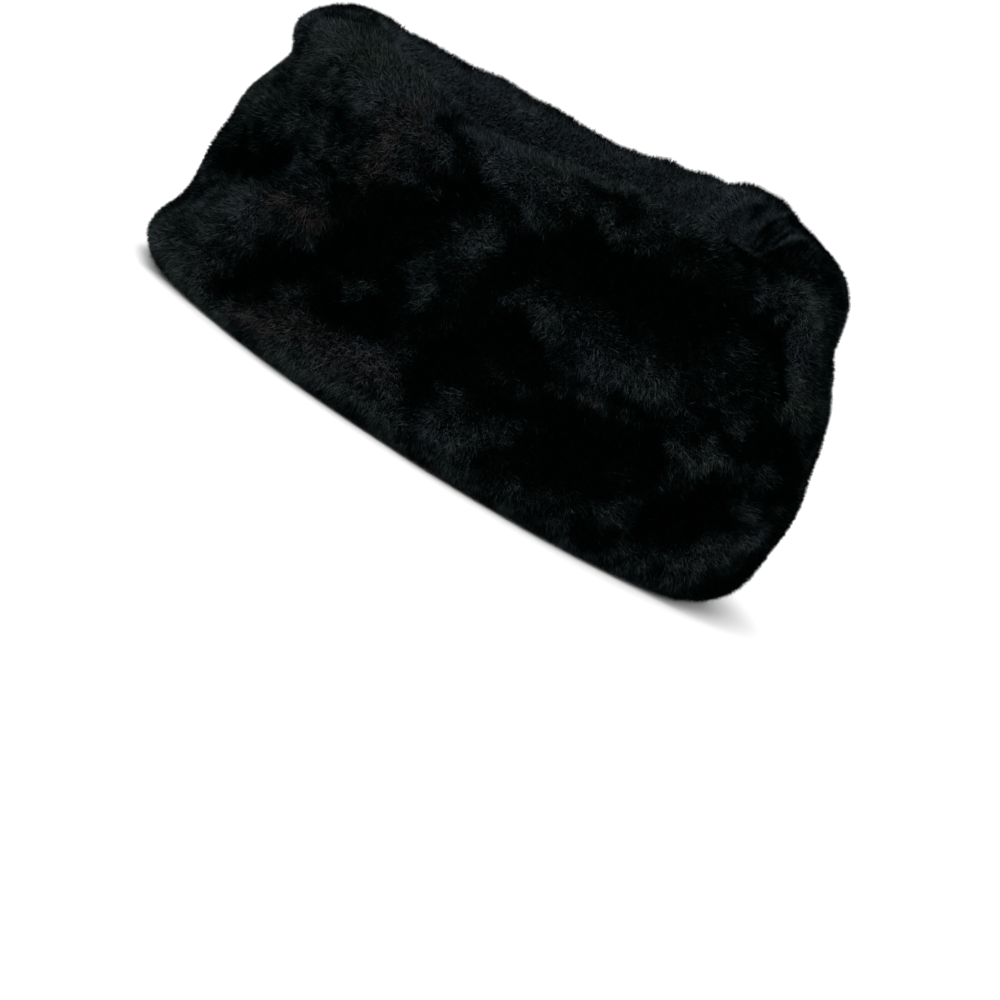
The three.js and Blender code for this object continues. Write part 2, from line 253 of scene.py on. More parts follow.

# Painted light and shade in the hairs' colour, where the nap also lies or stands: above 0 the hairs
# are painted paler for nap that lies flat and catches the light and for the light on lobes, ridges
# and bulges; below 0 darker for nap that stands on end and swallows it and for the shade in folds,
# hollows, creases and the recess. Places as in FOLDS; brown is the share of sun-faded hairs
NAP_SHEEN_AND_SHADE = table(("name", "angle", "girth", "to_angle", "to_girth", "spread", "light", "brown"), [
    ("front lobe", 24, 103, 40, 108, 13, 1.3, 0),
    ("front lobe, down", 34, 124, 50, 100, 12, 1.3, 0),
    ("front lobe, edge", 12, 120, 22, 130, 6, 0.6, 0),
    ("front lobe, front", 7, 112, 9, 121, 5, 1.2, 0),
    ("front lobe, faded", 55, 97, 58, 72, 7, 1.0, 0.7),
    ("front lobe, back edge", 61, 100, 61, 88, 4, 0.8, 0.3),
    ("face, top", 4, 83, 8, 96, 10, 1.0, 0),
    ("face, edge", 10, 64, 22, 76, 7, 0.9, 0),
    ("face", 14, 80, 44, 62, 14, 0.55, 0),
    ("temple, top", 23, 86, 35, 88, 6, 1.1, 0),
    ("face, strands", 38, 77, 46, 70, 4, 1.0, 0),
    ("temple, low", 50, 67, 54, 75, 4, 0.8, 0),
    ("temple, edge", 12, 85, 23, 80, 4, 0.9, 0),
    ("temple, back", 38, 91, 40, 93, 4, 0.8, 0),
    ("face, front edge", 8, 74, 20, 80, 6, 0.9, 0),
    ("hollow, edge", 27, 59, 28, 57, 3, 1.2, 0),
    ("brow", 26, 32, 38, 45, 8, 1.1, 0),
    ("brow, faded", 44, 47, 56, 53, 5, 1.0, 0.8),
    ("brow, low", 33, 27, 47, 40, 5, 0.9, 0),
    ("brow, edge", 51, 42, 58, 54, 3, 0.8, 0),
    ("nose", 14, 14, 38, 13, 8, 1.1, 0),
    ("nose, edge", 18, 22, 24, 30, 5, 0.8, 0),
    ("nose, high", 11, 38, 13, 39, 4, 0.9, 0),
    ("nose, middle", 25, 22, 26, 24, 3.5, 0.7, 0),
    ("below the hollow", 17, 37, 28, 43, 4, 0.6, 0),
    ("brow roll, front", 54, 26, 60, 29, 4, 1.0, 0),
    ("brow roll, back", 65, 36, 68, 37, 3.5, 1.5, 0),
    ("hem, front, high", 59, 21, 66, 22, 4, 0.9, 0.2),
    ("cheek, foot", 76, 27, 80, 31, 4, 0.7, 0),
    ("hem, front", 52, 10, 66, 20, 7, 1.1, 0.6),
    ("hem, front, start", 41, 5, 52, 9, 5, 1.0, 0),
    ("hem, front, edge", 55, 19, 57, 20, 3.5, 0.9, 0),
    ("hem, front, faded", 69, 14, 81, 20, 8, 1.2, 0.4),
    ("hem, front, low", 64, 5, 84, 7, 5, 0.8, 0),
    ("tuft, column", 71, 57, 76, 50, 4, 1.3, 0),
    ("tuft", 77, 72, 81, 78, 4.5, 2.2, 0),
    ("tuft, foot", 78, 68, 80, 72, 3.5, 1.2, 0),
    ("ridge, front", 53, 108, 68, 104, 13, 1.4, 0),
    ("ridge, middle", 73, 108, 88, 113, 12, 1.5, 0),
    ("ridge, low", 76, 99, 84, 104, 6, 1.3, 0),
    ("ridge, foot", 84, 94, 92, 92, 4, 0.8, 0),
    ("ridge, low, back", 86, 98, 88, 105, 4, 1.3, 0),
    ("ridge, back, low", 104, 101, 106, 104, 3.5, 1.0, 0),
    ("ridge, crest", 70, 116, 100, 122, 8, 1.5, 0),
    ("ridge, back", 101, 105, 104, 110, 4, 1.5, 0),
    ("ridge, back, foot", 92, 103, 99, 104, 3.5, 0.8, 0),
    ("ridge, back, high", 107, 113, 110, 117, 3, 1.0, 0),
    ("below the crest, lit", 113, 109, 118, 111, 4, 0.7, 0),
    ("ridge, crest, back", 108, 122, 120, 128, 4, 1.0, 0),
    ("waist, middle", 91, 69, 98, 64, 5, 1.1, 0),
    ("waist, low", 108, 61, 120, 67, 6, 0.9, 0),
    ("waist, foot", 106, 51, 112, 49, 3.5, 1.1, 0.4),
    ("belly speckle, upper", 90, 40, 101, 44, 3.5, 0.6, 0),
    ("belly, front edge", 89, 25, 91, 24, 3, 1.1, 0),
    ("belly spot", 103, 28, 106, 29, 4, 0.6, 0),
    ("hem, middle", 82, 11, 98, 18, 7, 1.0, 0),
    ("hem, middle, high", 98, 18, 102, 20, 3.5, 1.0, 0),
    ("hem, middle, back", 104, 14, 114, 19, 4, 1.3, 0),
    ("low", 129, 50, 136, 55, 4.5, 1.1, 0),
    ("low, front", 123, 52, 129, 50, 3, 0.3, 0),
    ("low, speckle", 129, 40, 137, 42, 3.5, 0.3, 0),
    ("back of the waist", 124, 80, 140, 84, 8, 0.1, 0),
    ("back of the waist, high", 128, 88, 136, 88, 4, 0.7, 0),
    ("back spot", 134, 63, 138, 66, 4, 0.7, 0),
    ("back strip", 151, 118, 153, 82, 6.5, 1.6, 0),
    ("back strip, edge", 156, 112, 160, 123, 4, 1.0, 0),
    ("back strip, top", 135, 114, 148, 119, 5, 1.0, 0),
    ("back strip, low", 156, 80, 157, 72, 5, 1.0, 0),
    ("back strip, far", 177, 83, 179, 93, 5, 1.2, 0),
    ("beside the back strip, lit", 143, 105, 145, 109, 4, 1.2, 0),
    ("nape", 147, 40, 157, 46, 4, 1.2, 0),
    ("nape, low", 152, 30, 160, 36, 5, 0.9, 0),
    ("nape, high", 160, 44, 164, 46, 3, 0.6, 0),
    ("nape, top", 152, 53, 154, 53, 3, 0.7, 0),
    ("hem, back", 116, 5, 120, 14, 3, 0.4, 0),
    ("hem, back, high", 120, 22, 124, 25, 3.5, 0.9, 0),
    ("hem, back, middle", 130, 13, 132, 15, 3.5, 0.9, 0),
    ("hem, nape", 136, 15, 146, 18, 4.5, 1.0, 0),
    ("hem, nape, high", 146, 24, 152, 24, 4, 0.9, 0),
    ("front hollow", 24, 49, 34, 57, 6, -1.2, 0),
    ("brow shade", 29, 37, 31, 38, 4, -1.0, 0),
    ("nose shade", 23, 8, 25, 10, 4, -0.4, 0),
    ("seam groove", 40, 66, 57, 62, 2, -0.5, 0),
    ("brow line", 50, 46, 58, 60, 2, -0.5, 0),
    ("brow crease", 43, 12, 49, 29, 7, -0.9, 0),
    ("brow crease, back", 48, 28, 60, 41, 6, -1.3, 0),
    ("brow crease, top", 60, 43, 62, 60, 6.5, -1.9, 0),
    ("cheek column", 66, 60, 69, 46, 3, -0.6, 0),
    ("cheek", 65, 30, 73, 30, 6, -1.4, 0),
    ("below the lobe", 65, 74, 72, 70, 5, -0.3, 0),
    ("below the lobe, back", 69, 85, 75, 86, 5, -0.7, 0),
    ("below the lobe, lit", 62, 76, 69, 81, 4, 1.2, 0),
    ("behind the lobe", 69, 104, 73, 88, 5, -1.2, 0),
    ("behind the lobe, high", 62, 109, 69, 104, 4, -1.3, 0),
    ("lobe shade", 27, 104, 29, 105, 4, -0.5, 0),
    ("ridge shade", 58, 109, 60, 110, 3.5, -0.6, 0),
    ("long fold, front", 83, 76, 95, 82, 5, -1.2, 0),
    ("long fold, middle", 97, 88, 114, 87, 7, -1.6, 0),
    ("long fold, back", 114, 88, 129, 101, 5, -0.8, 0),
    ("long fold, foot", 118, 85, 128, 90, 4, -0.9, 0),
    ("long fold, end", 131, 102, 147, 97, 4, -1.0, 0),
    ("beside the back strip", 147, 96, 149, 86, 4, -1.4, 0),
    ("below the crest", 90, 113, 101, 114, 3.5, -1.0, 0),
    ("behind the crest", 128, 124, 136, 126, 5, -1.1, 0),
    ("behind the tuft", 84, 64, 88, 52, 3, -0.9, 0),
    ("behind the tuft, low", 78, 56, 80, 46, 3, -0.7, 0),
    ("short fold, lower", 85, 20, 86, 34, 6.5, -1.4, 0),
    ("short fold, upper", 85, 38, 91, 50, 5, -1.2, 0),
    ("short fold, back", 91, 54, 101, 50, 6, -1.8, 0),
    ("below the waist", 96, 55, 103, 54, 3.5, -1.1, 0),
    ("belly", 108, 42, 114, 28, 9, -0.8, 0),
    ("belly, front", 88, 29, 102, 33, 5, -0.9, 0),
    ("belly, low", 104, 14, 118, 26, 5, -1.2, 0),
    ("belly, back", 124, 48, 127, 40, 4, -1.3, 0),
    ("belly line", 114, 58, 122, 56, 2.5, -0.9, 0),
    ("waist, back edge", 117, 78, 122, 75, 4, -0.5, 0),
    ("hem hollow", 138, 28, 147, 37, 5.5, -1.6, 0),
    ("back hollow", 131, 58, 150, 63, 4, -1.0, 0),
    ("back hollow, end", 154, 64, 166, 50, 6, -0.9, 0),
    ("back hollow, far", 176, 62, 178, 66, 5, -1.1, 0),
    ("hem, dark", 121, 9, 125, 14, 3.5, -1.1, 0),
    ("hem lobe", 157, 12, 172, 20, 7, -0.7, 0),
    ("forehead", 340, 58, 352, 52, 10, 0.7, 0),
    ("forehead, low", 343, 20, 354, 12, 8, 1.0, 0.4),
    ("forehead, high", 340, 106, 354, 112, 11, 0.9, 0),
    ("right lobe", 322, 112, 306, 104, 13, 1.2, 0),
    ("right lobe, faded", 304, 92, 298, 76, 8, 0.9, 0.6),
    ("right temple", 330, 70, 318, 60, 8, 0.8, 0),
    ("right brow", 322, 26, 312, 44, 9, 1.1, 0),
    ("right brow, back", 306, 60, 300, 46, 6, 0.8, 0.4),
    ("right hem, front", 292, 10, 322, 14, 7, 1.1, 0.4),
    ("right ridge, front", 294, 112, 278, 108, 11, 1.2, 0),
    ("right ridge, middle", 268, 114, 250, 118, 10, 1.3, 0),
    ("right ridge, back", 242, 124, 224, 126, 9, 1.0, 0),
    ("right tuft", 276, 66, 280, 74, 6, 1.2, 0),
    ("right waist", 250, 58, 268, 50, 9, 1.0, 0),
    ("right waist, back", 228, 66, 238, 60, 7, 0.8, 0),
    ("right hem, middle", 246, 12, 284, 18, 8, 1.1, 0.3),
    ("right hem, back", 212, 12, 234, 16, 7, 1.0, 0),
    ("right belly spot", 274, 34, 282, 40, 5, 0.6, 0),
    ("right nape", 196, 44, 212, 38, 9, 1.0, 0),
    ("back, high", 180, 104, 196, 112, 10, 1.0, 0),
    ("back, middle", 184, 82, 178, 68, 7, 0.8, 0),
    ("back, low", 178, 22, 200, 14, 7, 1.0, 0.3),
    ("back strip, right", 210, 112, 218, 96, 8, 1.0, 0),
    ("forehead hollow", 334, 80, 348, 84, 8, -1.0, 0),
    ("forehead crease", 334, 40, 348, 34, 5, -0.7, 0),
    ("right brow crease", 300, 28, 292, 62, 8, -1.1, 0),
    ("right long fold, front", 252, 80, 278, 88, 8, -1.2, 0),
    ("right long fold, back", 222, 90, 250, 78, 8, -1.2, 0),
    ("right belly", 242, 34, 264, 32, 8, -0.8, 0),
    ("right hem hollow", 216, 30, 228, 46, 8, -1.0, 0),
    ("right hem, dark", 286, 6, 292, 10, 5, -0.8, 0),
    ("nape hollow", 190, 70, 212, 62, 8, -1.1, 0),
    ("back hollow, right", 180, 50, 190, 42, 6, -0.6, 0),
    ("back lobe", 154, 146, 164, 130, 12, -0.3, 0),
    ("recess, back", 192, 160, 202, 158, 18, -1.7, 0),
    ("recess, back, far", 206, 160, 220, 161, 11, -1.3, 0),
    ("recess, back corner", 148, 143, 168, 150, 8, -1.6, 0),
    ("recess, corner", 171, 150, 174, 156, 6, -1.3, 0),
])

# Lightness of the nap where the table has no patch
NAP_GROUND = -0.38

# Casts of the hairs, as a share of each colour
CASTS = table(("name", "red", "green", "blue"), [
    ("deep", 0.40, 1.00, 0.96),
    ("cold", 0.72, 1.00, 1.08),
    ("moss", 0.68, 1.00, 0.90),
    ("slate", 0.72, 0.96, 1.22),
    ("faded", 1.10, 0.92, 0.92),
])
CAST_NUMBER = {name: i for i, name in enumerate(CASTS["name"])}

# Mean brightness of the pile, as linear light, where its lightness is -1, -0.5, 0, 0.5 and 1
BRIGHTNESS = ((-1, 0.0006), (-0.5, 0.0018), (0, 0.005), (0.5, 0.0102), (1, 0.0162))


# Shapes, worked out in millimetres and degrees


def smooth(rows, key, column, at, period=None):
    """Value of a column at a key: a cubic through the rows. The slope at each row is the mean of
    the rates on its two sides, each weighted by the other side's width. With a period the rows
    repeat round it."""
    keys = rows[key].astype(float)
    values = rows[column].astype(float)
    if period:
        at = np.mod(at, period)
        keys = np.concatenate([keys[-2:] - period, keys, keys[:3] + period])
        values = np.concatenate([values[-2:], values, values[:3]])
    width = np.diff(keys)
    rate = np.diff(values) / width
    slope = np.concatenate([rate[:1], rate[:-1], rate[-1:]])
    slope[1:-1] = (rate[:-1] * width[1:] + rate[1:] * width[:-1]) / (width[:-1] + width[1:])
    at = np.clip(at, keys[0], keys[-1])
    i = np.clip(np.searchsorted(keys, at, side="right") - 1, 0, len(width) - 1)
    t = (at - keys[i]) / width[i]
    return (
        (2 * t**3 - 3 * t**2 + 1) * values[i]
        + (t**3 - 2 * t**2 + t) * width[i] * slope[i]
        + (3 * t**2 - 2 * t**3) * values[i + 1]
        + (t**3 - t**2) * width[i] * slope[i + 1]
    )


def rounds(sections, rows):
    """Angles of a grid round the hat: one for each section, the same all along it."""
    return np.broadcast_to(np.arange(sections)[:, None] * 360 / sections, (sections, rows))


def unit(vectors):
    """Vectors at length 1."""
    return vectors / np.maximum(np.linalg.norm(vectors, axis=-1, keepdims=True), 1e-12)


def oval(front, back, side, angle):
    """Point (side sin, -end cos) of an oval whose end is front before the middle and back behind
    it, and the unit way out of it, (end sin, -side cos)."""
    sin, cos = np.sin(np.radians(angle)), np.cos(np.radians(angle))
    end = np.where(cos >= 0, front, back)
    point = np.stack([side * sin, -end * cos, 0 * end], axis=-1)
    return point, unit(np.stack([end * sin, -side * cos, 0 * end], axis=-1))


def wall_oval(angle, height):
    """The outer wall's oval at a height."""
    front, back, side = (smooth(REACH, "height", name, height) for name in ("front", "back", "side"))
    return oval(front, back, side, angle)


def roll_at(angle):
    """The rolled edge's crest, inset and rise at an angle, then the girths of wall, roll and
    recess. A quarter ellipse is as long as pi / 2 times the root mean square of its half axes."""
    crest, inset, rise = (
        smooth(CREST, "angle", name, angle, 360) for name in ("height", "inset", "rise")
    )
    over = math.pi / 2 * np.sqrt((inset**2 + rise**2) / 2)
    down = math.pi / 2 * math.sqrt((RECESS_SLOPE**2 + RECESS_DEPTH**2) / 2)
    return crest, inset, rise, crest - rise, over, down


def turn(degrees):
    """An angle as a turn between -180 and 180 degrees."""
    return np.mod(degrees + 180, 360) - 180


def stroke_share(x, y, dx, dy, spread):
    """exp(-(distance / spread)^2) from the line between the origin and (dx, dy)."""
    along = np.clip((x * dx + y * dy) / max(dx * dx + dy * dy, 1e-6), 0, 1)
    return np.exp(-((x - along * dx) ** 2 + (y - along * dy) ** 2) / spread**2)


def blended(sizes, shares):
    """Strokes put together: of those of one sign the largest wins softly, as the FOLD_BLEND-th
    root of the sum of their powers, and the negative ones are taken from the positive ones."""
    total = {True: 0.0, False: 0.0}
    for size, share in zip(sizes, shares):
        total[bool(size > 0)] = total[bool(size > 0)] + (abs(size) * share) ** FOLD_BLEND
    return total[True] ** (1 / FOLD_BLEND) - total[False] ** (1 / FOLD_BLEND)


def band_strokes(rows, column, angle, girth):
    """Blend of a table's strokes on the band at angles and girths."""
    shares = (
        stroke_share(
            turn(angle - rows["angle"][i]) * MM_PER_DEGREE,
            girth - rows["girth"][i],
            turn(rows["to_angle"][i] - rows["angle"][i]) * MM_PER_DEGREE,
            rows["to_girth"][i] - rows["girth"][i],
            rows["spread"][i],
        )
        for i in range(len(rows["name"]))
    )
    return blended(rows[column], shares)


def crown_fold(x, y):
    """Blend of the crown's folds."""
    rows = CROWN_FOLDS
    shares = (
        stroke_share(
            x - rows["x"][i],
            y - rows["y"][i],
            rows["to_x"][i] - rows["x"][i],
            rows["to_y"][i] - rows["y"][i],
            rows["spread"][i],
        )
        for i in range(len(rows["name"]))
    )
    return blended(rows["rise"], shares)


def outside(angle, girth):
    """Outside of the band: up the wall, a quarter ellipse over the roll and a steeper one down
    into the recess, moved by the folds along the way that it faces. Returns points and facing."""
    inset, rise, wall, over_girth, down_girth = roll_at(angle)[1:]
    over = np.clip((girth - wall) / over_girth, 0, 1) * math.pi / 2
    down = np.clip((girth - wall - over_girth) / down_girth, 0, 1) * math.pi / 2
    point, out = wall_oval(angle, np.minimum(girth, wall))
    inward = inset * (1 - np.cos(over)) + RECESS_SLOPE * np.sin(down)
    height = np.where(girth < wall, girth, wall + rise * np.sin(over))
    point[..., 2] = height - RECESS_DEPTH * (1 - np.cos(down))
    facing = out * np.cos(over + down)[..., None]
    facing[..., 2] = np.sin(over + down)
    share = np.clip((girth - FOOT_FLAT) / FOOT_FADE, 0, 1)
    share = share * np.clip((wall + over_girth + down_girth - girth) / SEAM_FADE, 0, 1)
    fold = band_strokes(FOLDS, "rise", angle, girth) * share
    return point - out * inward[..., None] + facing * fold[..., None], facing


def lining(angle, height):
    """Inner side of the wall: a wall's thickness in from the outside, with a share of its folds."""
    point, out = wall_oval(angle, height)
    point[..., 2] = height
    fold = LINING_FOLLOWS * band_strokes(FOLDS, "rise", angle, height)
    return point + out * (fold - WALL)[..., None]


def seam(angle, height, clearance=0.0):
    """The seam between roll and crown: the recess's foot, at a height above it."""
    crest, inset, _, wall = roll_at(angle)[:4]
    point, out = wall_oval(angle, wall)
    point[..., 2] = crest - RECESS_DEPTH + height
    return point - out * (inset + RECESS_SLOPE + clearance)[..., None]


def hem_inside(angle, height):
    """Inside of the hem: the head opening's oval, moved out by the table's standing back."""
    ends = 0 * angle + OPENING_LENGTH / 2
    point, out = oval(ends, ends, ends * OPENING_WIDTH / OPENING_LENGTH, angle)
    point[..., 2] = height
    return point + out * smooth(HEM_INSIDE, "height", "back", height)[..., None]


def crown_surface(angle, share):
    """Top of the crown at a share of the way from its middle to its rim: the height goes from
    the middle's to the rim's with share squared, plus a puff and folds that die out at the rim."""
    rims = seam(rounds(RIM_SECTIONS, 1)[:, 0], -CROWN_STEP)
    middle = rims.mean(axis=0)
    rim = seam(angle, -CROWN_STEP, GAP)
    point = middle + (rim - middle) * share[..., None]
    swell = 1 - share**2
    point[..., 2] = middle[2] + (rim[..., 2] - middle[2]) * share**2
    point[..., 2] += (CROWN_PUFF + crown_fold(point[..., 0], point[..., 1])) * swell
    return point


def lumps(across, up, cell, seed, round_trip=None):
    """Smooth noise from -1 to 1: random values on a lattice of cells, blended by
    t^2 (3 - 2 t) both ways. With a round trip it closes on itself across it."""
    columns = max(3, round(round_trip / cell)) if round_trip else 512
    width = round_trip / columns if round_trip else cell
    values = np.random.default_rng(seed).uniform(-1, 1, (columns, 512))
    x, y = across / width, up / cell + 200
    i, j = np.floor(x).astype(int), np.floor(y).astype(int)
    s, t = x - i, y - j
    s, t = s * s * (3 - 2 * s), t * t * (3 - 2 * t)
    i, following, j = i % columns, (i + 1) % columns, j % 511
    low = values[i, j] * (1 - s) + values[following, j] * s
    high = values[i, j + 1] * (1 - s) + values[following, j + 1] * s
    return low * (1 - t) + high * t


def band_lumps(angle, girth, cell, seed):
    """Noise round the band, with cells in millimetres."""
    return lumps(np.mod(angle, 360) * MM_PER_DEGREE, girth, cell, seed, 360 * MM_PER_DEGREE)


def grid_ways(points):
    """For a grid of sections round the hat: the unit ways round it and along each section, by
    central differences, and their cross product, the way out."""
    round_it = unit(np.roll(points, -1, axis=0) - np.roll(points, 1, axis=0))
    along = unit(np.gradient(points, axis=1))
    return round_it, along, unit(np.cross(round_it, along))


def skin_depth(girth, pile_depth):
    """How deep the skin lies under the pile: a little at the foot, all of it further up."""
    return FOOT_SKIN_DEPTH + (pile_depth - FOOT_SKIN_DEPTH) * np.clip(girth / FOOT_SKIN_REACH, 0, 1)


def band_skin_grid(angle, girth, pile_depth, crush):
    """Skin under the band's pile: the outside sunk by the pile's depth, moved by the table's
    proud places, and crushed in large and fine lumps that die out at the foot."""
    point, facing = outside(angle, girth)
    large, fine = BAND_LUMPS
    crushed = band_lumps(angle, girth, large, 5) + FINE_LUMPS * band_lumps(angle, girth, fine, 6)
    crushed = crush * crushed * np.clip((girth - LUMPS_START) / LUMPS_FADE, 0, 1)
    proud = band_strokes(PROUD, "rise", angle, girth)
    point = point + facing * (crushed + proud - skin_depth(girth, pile_depth))[..., None]
    point[..., 2] = np.maximum(point[..., 2], FLOOR_CLEAR)
    return point


def crown_skin_grid(angle, share, pile_depth, crush):
    """Skin under the crown's pile: its top sunk by the pile's depth, and crushed in lumps."""
    point = crown_surface(angle, share)
    x, y = point[..., 0], point[..., 1]
    large, fine = CROWN_LUMPS
    crushed = lumps(x + NOISE_SHIFT, y, large, 15) + FINE_LUMPS * lumps(x + NOISE_SHIFT, y, fine, 16)
    point[..., 2] += crush * crushed * (1 - share**4) - pile_depth
    return point


# Meshes


def sewn(points, closed_rows):
    """Quads between neighbouring sections of a grid that goes round the hat, as corner numbers,
    with each corner's place on the cloth: how far round and how far along, in decimetres."""
    sections, rows = points.shape[:2]
    i, k = np.meshgrid(
        np.arange(sections), np.arange(rows if closed_rows else rows - 1), indexing="ij"
    )
    following, above = (i + 1) % sections, (k + 1) % rows
    corners = (i * rows + k, following * rows + k, following * rows + above, i * rows + above)
    steps = np.linalg.norm(np.roll(points, -1, axis=1) - points, axis=-1).mean(axis=0)
    along = np.concatenate([[0], np.cumsum(steps)]) / 100
    one_round = 360 * MM_PER_DEGREE / 100 / sections
    places = ((i, k), (i + 1, k), (i + 1, k + 1), (i, k + 1))
    cloth = [np.stack([a * one_round, along[b]], -1) for a, b in places]
    return np.stack(corners, -1).reshape(-1, 4), np.stack(cloth, -2).reshape(-1, 2)


def new_piece(name, points, loops, sizes, finishes, finish_of_face, smooth_faces, cloth=None):
    """A piece of the hat from points in millimetres and faces as one run of corner numbers with
    each face's count. It rides on the hat's body."""
    mesh = bpy.data.meshes.new(name)
    mesh.vertices.add(len(points))
    mesh.vertices.foreach_set("co", (points * MM).astype(np.float32).ravel())
    mesh.loops.add(len(loops))
    mesh.loops.foreach_set("vertex_index", loops.astype(np.int32))
    mesh.polygons.add(len(sizes))
    mesh.polygons.foreach_set("loop_start", (np.cumsum(sizes) - sizes).astype(np.int32))
    mesh.polygons.foreach_set("material_index", finish_of_face.astype(np.int32))
    mesh.polygons.foreach_set("use_smooth", np.full(len(sizes), smooth_faces))
    for finish in finishes:
        mesh.materials.append(finish)
    if cloth is not None:
        layer = mesh.uv_layers.new(name="Cloth")
        layer.uv.foreach_set("vector", cloth.astype(np.float32).ravel())
    mesh.update(calc_edges=True)
    mesh.validate()
    piece = bpy.data.objects.new(name, mesh)
    bpy.context.scene.collection.objects.link(piece)
    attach(piece, BODY)
    return piece


# Materials


class Value:
    """A node's output socket with arithmetic: an expression on it adds its Math nodes."""

    def __init__(self, finish, socket):
        self.finish, self.socket = finish, socket

    def maths(self, operation, first, second):
        return self.finish.node("Math", {"operation": operation}, {0: first, 1: second})

    def __add__(self, other):
        return self.maths("ADD", self, other)

    def __sub__(self, other):
        return self.maths("SUBTRACT", self, other)

    def __rsub__(self, other):
        return self.maths("SUBTRACT", other, self)

    def __mul__(self, other):
        return self.maths("MULTIPLY", self, other)

    __radd__ = __add__
    __rmul__ = __mul__


class Finish:
    """A material in the making, with one method for every kind of node."""

    def __init__(self, name, roughness, specular):
        self.material = bpy.data.materials.new(name)
        self.material.use_nodes = True
        self.tree = self.material.node_tree
        self.shader = self.tree.nodes["Principled BSDF"]
        self.shader.inputs["Roughness"].default_value = roughness
        self.shader.inputs["Specular IOR Level"].default_value = specular

    def node(self, kind, settings, inputs, output=0):
        """A node with its settings, then its sockets' values or links; returns one output."""
        node = self.tree.nodes.new("ShaderNode" + kind)
        for name, value in settings.items():
            setattr(node, name, value)
        for socket, value in inputs.items():
            self.feed(node.inputs[socket], value)
        return Value(self, node.outputs[output])

    def feed(self, socket, value):
        """Links or sets one socket."""
        if isinstance(value, Value):
            self.tree.links.new(value.socket, socket)
        else:
            socket.default_value = value

    def blend(self, factor, first, second):
        """Mix of two colours."""
        settings = {"data_type": "RGBA"}
        return self.node("Mix", settings, {0: factor, 6: first, 7: second}, output=2)

    def noise(self, place, scale, detail, roughness=0.6):
        """Noise about 0.5, finer with the scale."""
        settings = {"noise_dimensions": "3D"}
        inputs = {"Vector": place, "Scale": scale, "Detail": detail, "Roughness": roughness}
        return self.node("TexNoise", settings, inputs)

    def bump(self, height, strength, distance):
        """Relief from a height, into the shader's normal."""
        inputs = {"Height": height, "Strength": strength, "Distance": distance}
        self.feed(self.shader.inputs["Normal"], self.node("Bump", {}, inputs))


def colour(rgb, brightness=1.0):
    """A colour socket's value."""
    return (*(channel * brightness for channel in rgb), 1.0)


def pile_bed(settings):
    """Felted underwool at the foot of the pile: near black, mottled and rough."""
    finish = Finish("underwool", 0.95, 0.0)
    place = finish.node("TexCoord", {}, {}, output="Object")
    mottle = finish.noise(place, 90.0, 4.0)
    felt = finish.noise(place, 900.0, 6.0, 0.75)
    shade = mottle * 0.7 + felt * 0.3
    dark, pale = colour(settings.underwool, 0.5), colour(settings.underwool, 1.6)
    finish.feed(finish.shader.inputs["Base Color"], finish.blend(shade, dark, pale))
    finish.feed(finish.shader.inputs["Roughness"], 1 - 0.15 * mottle)
    finish.bump(felt + 0.5 * mottle, 0.8, 0.0012)
    return finish.material


def lining_cloth(settings):
    """Plain black cloth inside: a fine twill along the cloth map, with slight wear."""
    finish = Finish("inside_cloth", 0.8, 0.25)
    cloth = finish.node("UVMap", {"uv_map": "Cloth"}, {})
    settings_wave = {"wave_type": "BANDS", "bands_direction": "DIAGONAL"}
    inputs_wave = {"Vector": cloth, "Scale": settings.twill, "Distortion": 0.4, "Detail": 1.0}
    twill = finish.node("TexWave", settings_wave, inputs_wave, output="Fac")
    place = finish.node("TexCoord", {}, {}, output="Object")
    wear = finish.noise(place, 30.0, 3.0)
    shade = twill * 0.45 + wear * 0.55
    dark, pale = colour(settings.cloth, 0.6), colour(settings.cloth, 1.5)
    finish.feed(finish.shader.inputs["Base Color"], finish.blend(shade, dark, pale))
    finish.feed(finish.shader.inputs["Roughness"], 0.7 + 0.2 * wear)
    finish.bump(twill + 0.3 * wear, 0.4, 0.0004)
    return finish.material


def hair_tones(settings):
    """The hairs' tones, from dark to pale in each cast. Each hair is one of them, so the pattern
    is in the pile itself."""
    wanted = (
        (f"hair_{CASTS['name'][i]}_{step}", [CASTS[c][i] for c in ("red", "green", "blue")], step, b)
        for i in range(len(CASTS["name"]))
        for step, b in enumerate(tone_ladder(settings))
    )
    return [finish_once(hair_finish, name, settings, name, *rest) for name, *rest in wanted]


def hair_finish(settings, name, cast, step, brightness):
    """One tone of hair, the paler the glossier."""
    gloss = settings.gloss * (step / (settings.tones - 1)) ** 3
    finish = Finish(name, settings.hair_roughness, gloss)
    finish.feed(finish.shader.inputs["Base Color"], colour(cast, brightness))
    return finish.material


def tone_ladder(settings):
    """Colour values of the tones, evenly spaced by ratio from the darkest to the palest."""
    steps = np.linspace(0, 1, settings.tones)
    return settings.darkest * (settings.palest / settings.darkest) ** steps


def finish_once(make, name, settings, *details):
    """The material of that name, made at its first use."""
    return bpy.data.materials.get(name) or make(settings, *details)


# The pile


def shell_finishes(settings):
    """Finishes of a shell: the bed of its pile, then the cloth inside."""
    return [
        finish_once(pile_bed, "underwool", settings),
        finish_once(lining_cloth, "inside_cloth", settings),
    ]


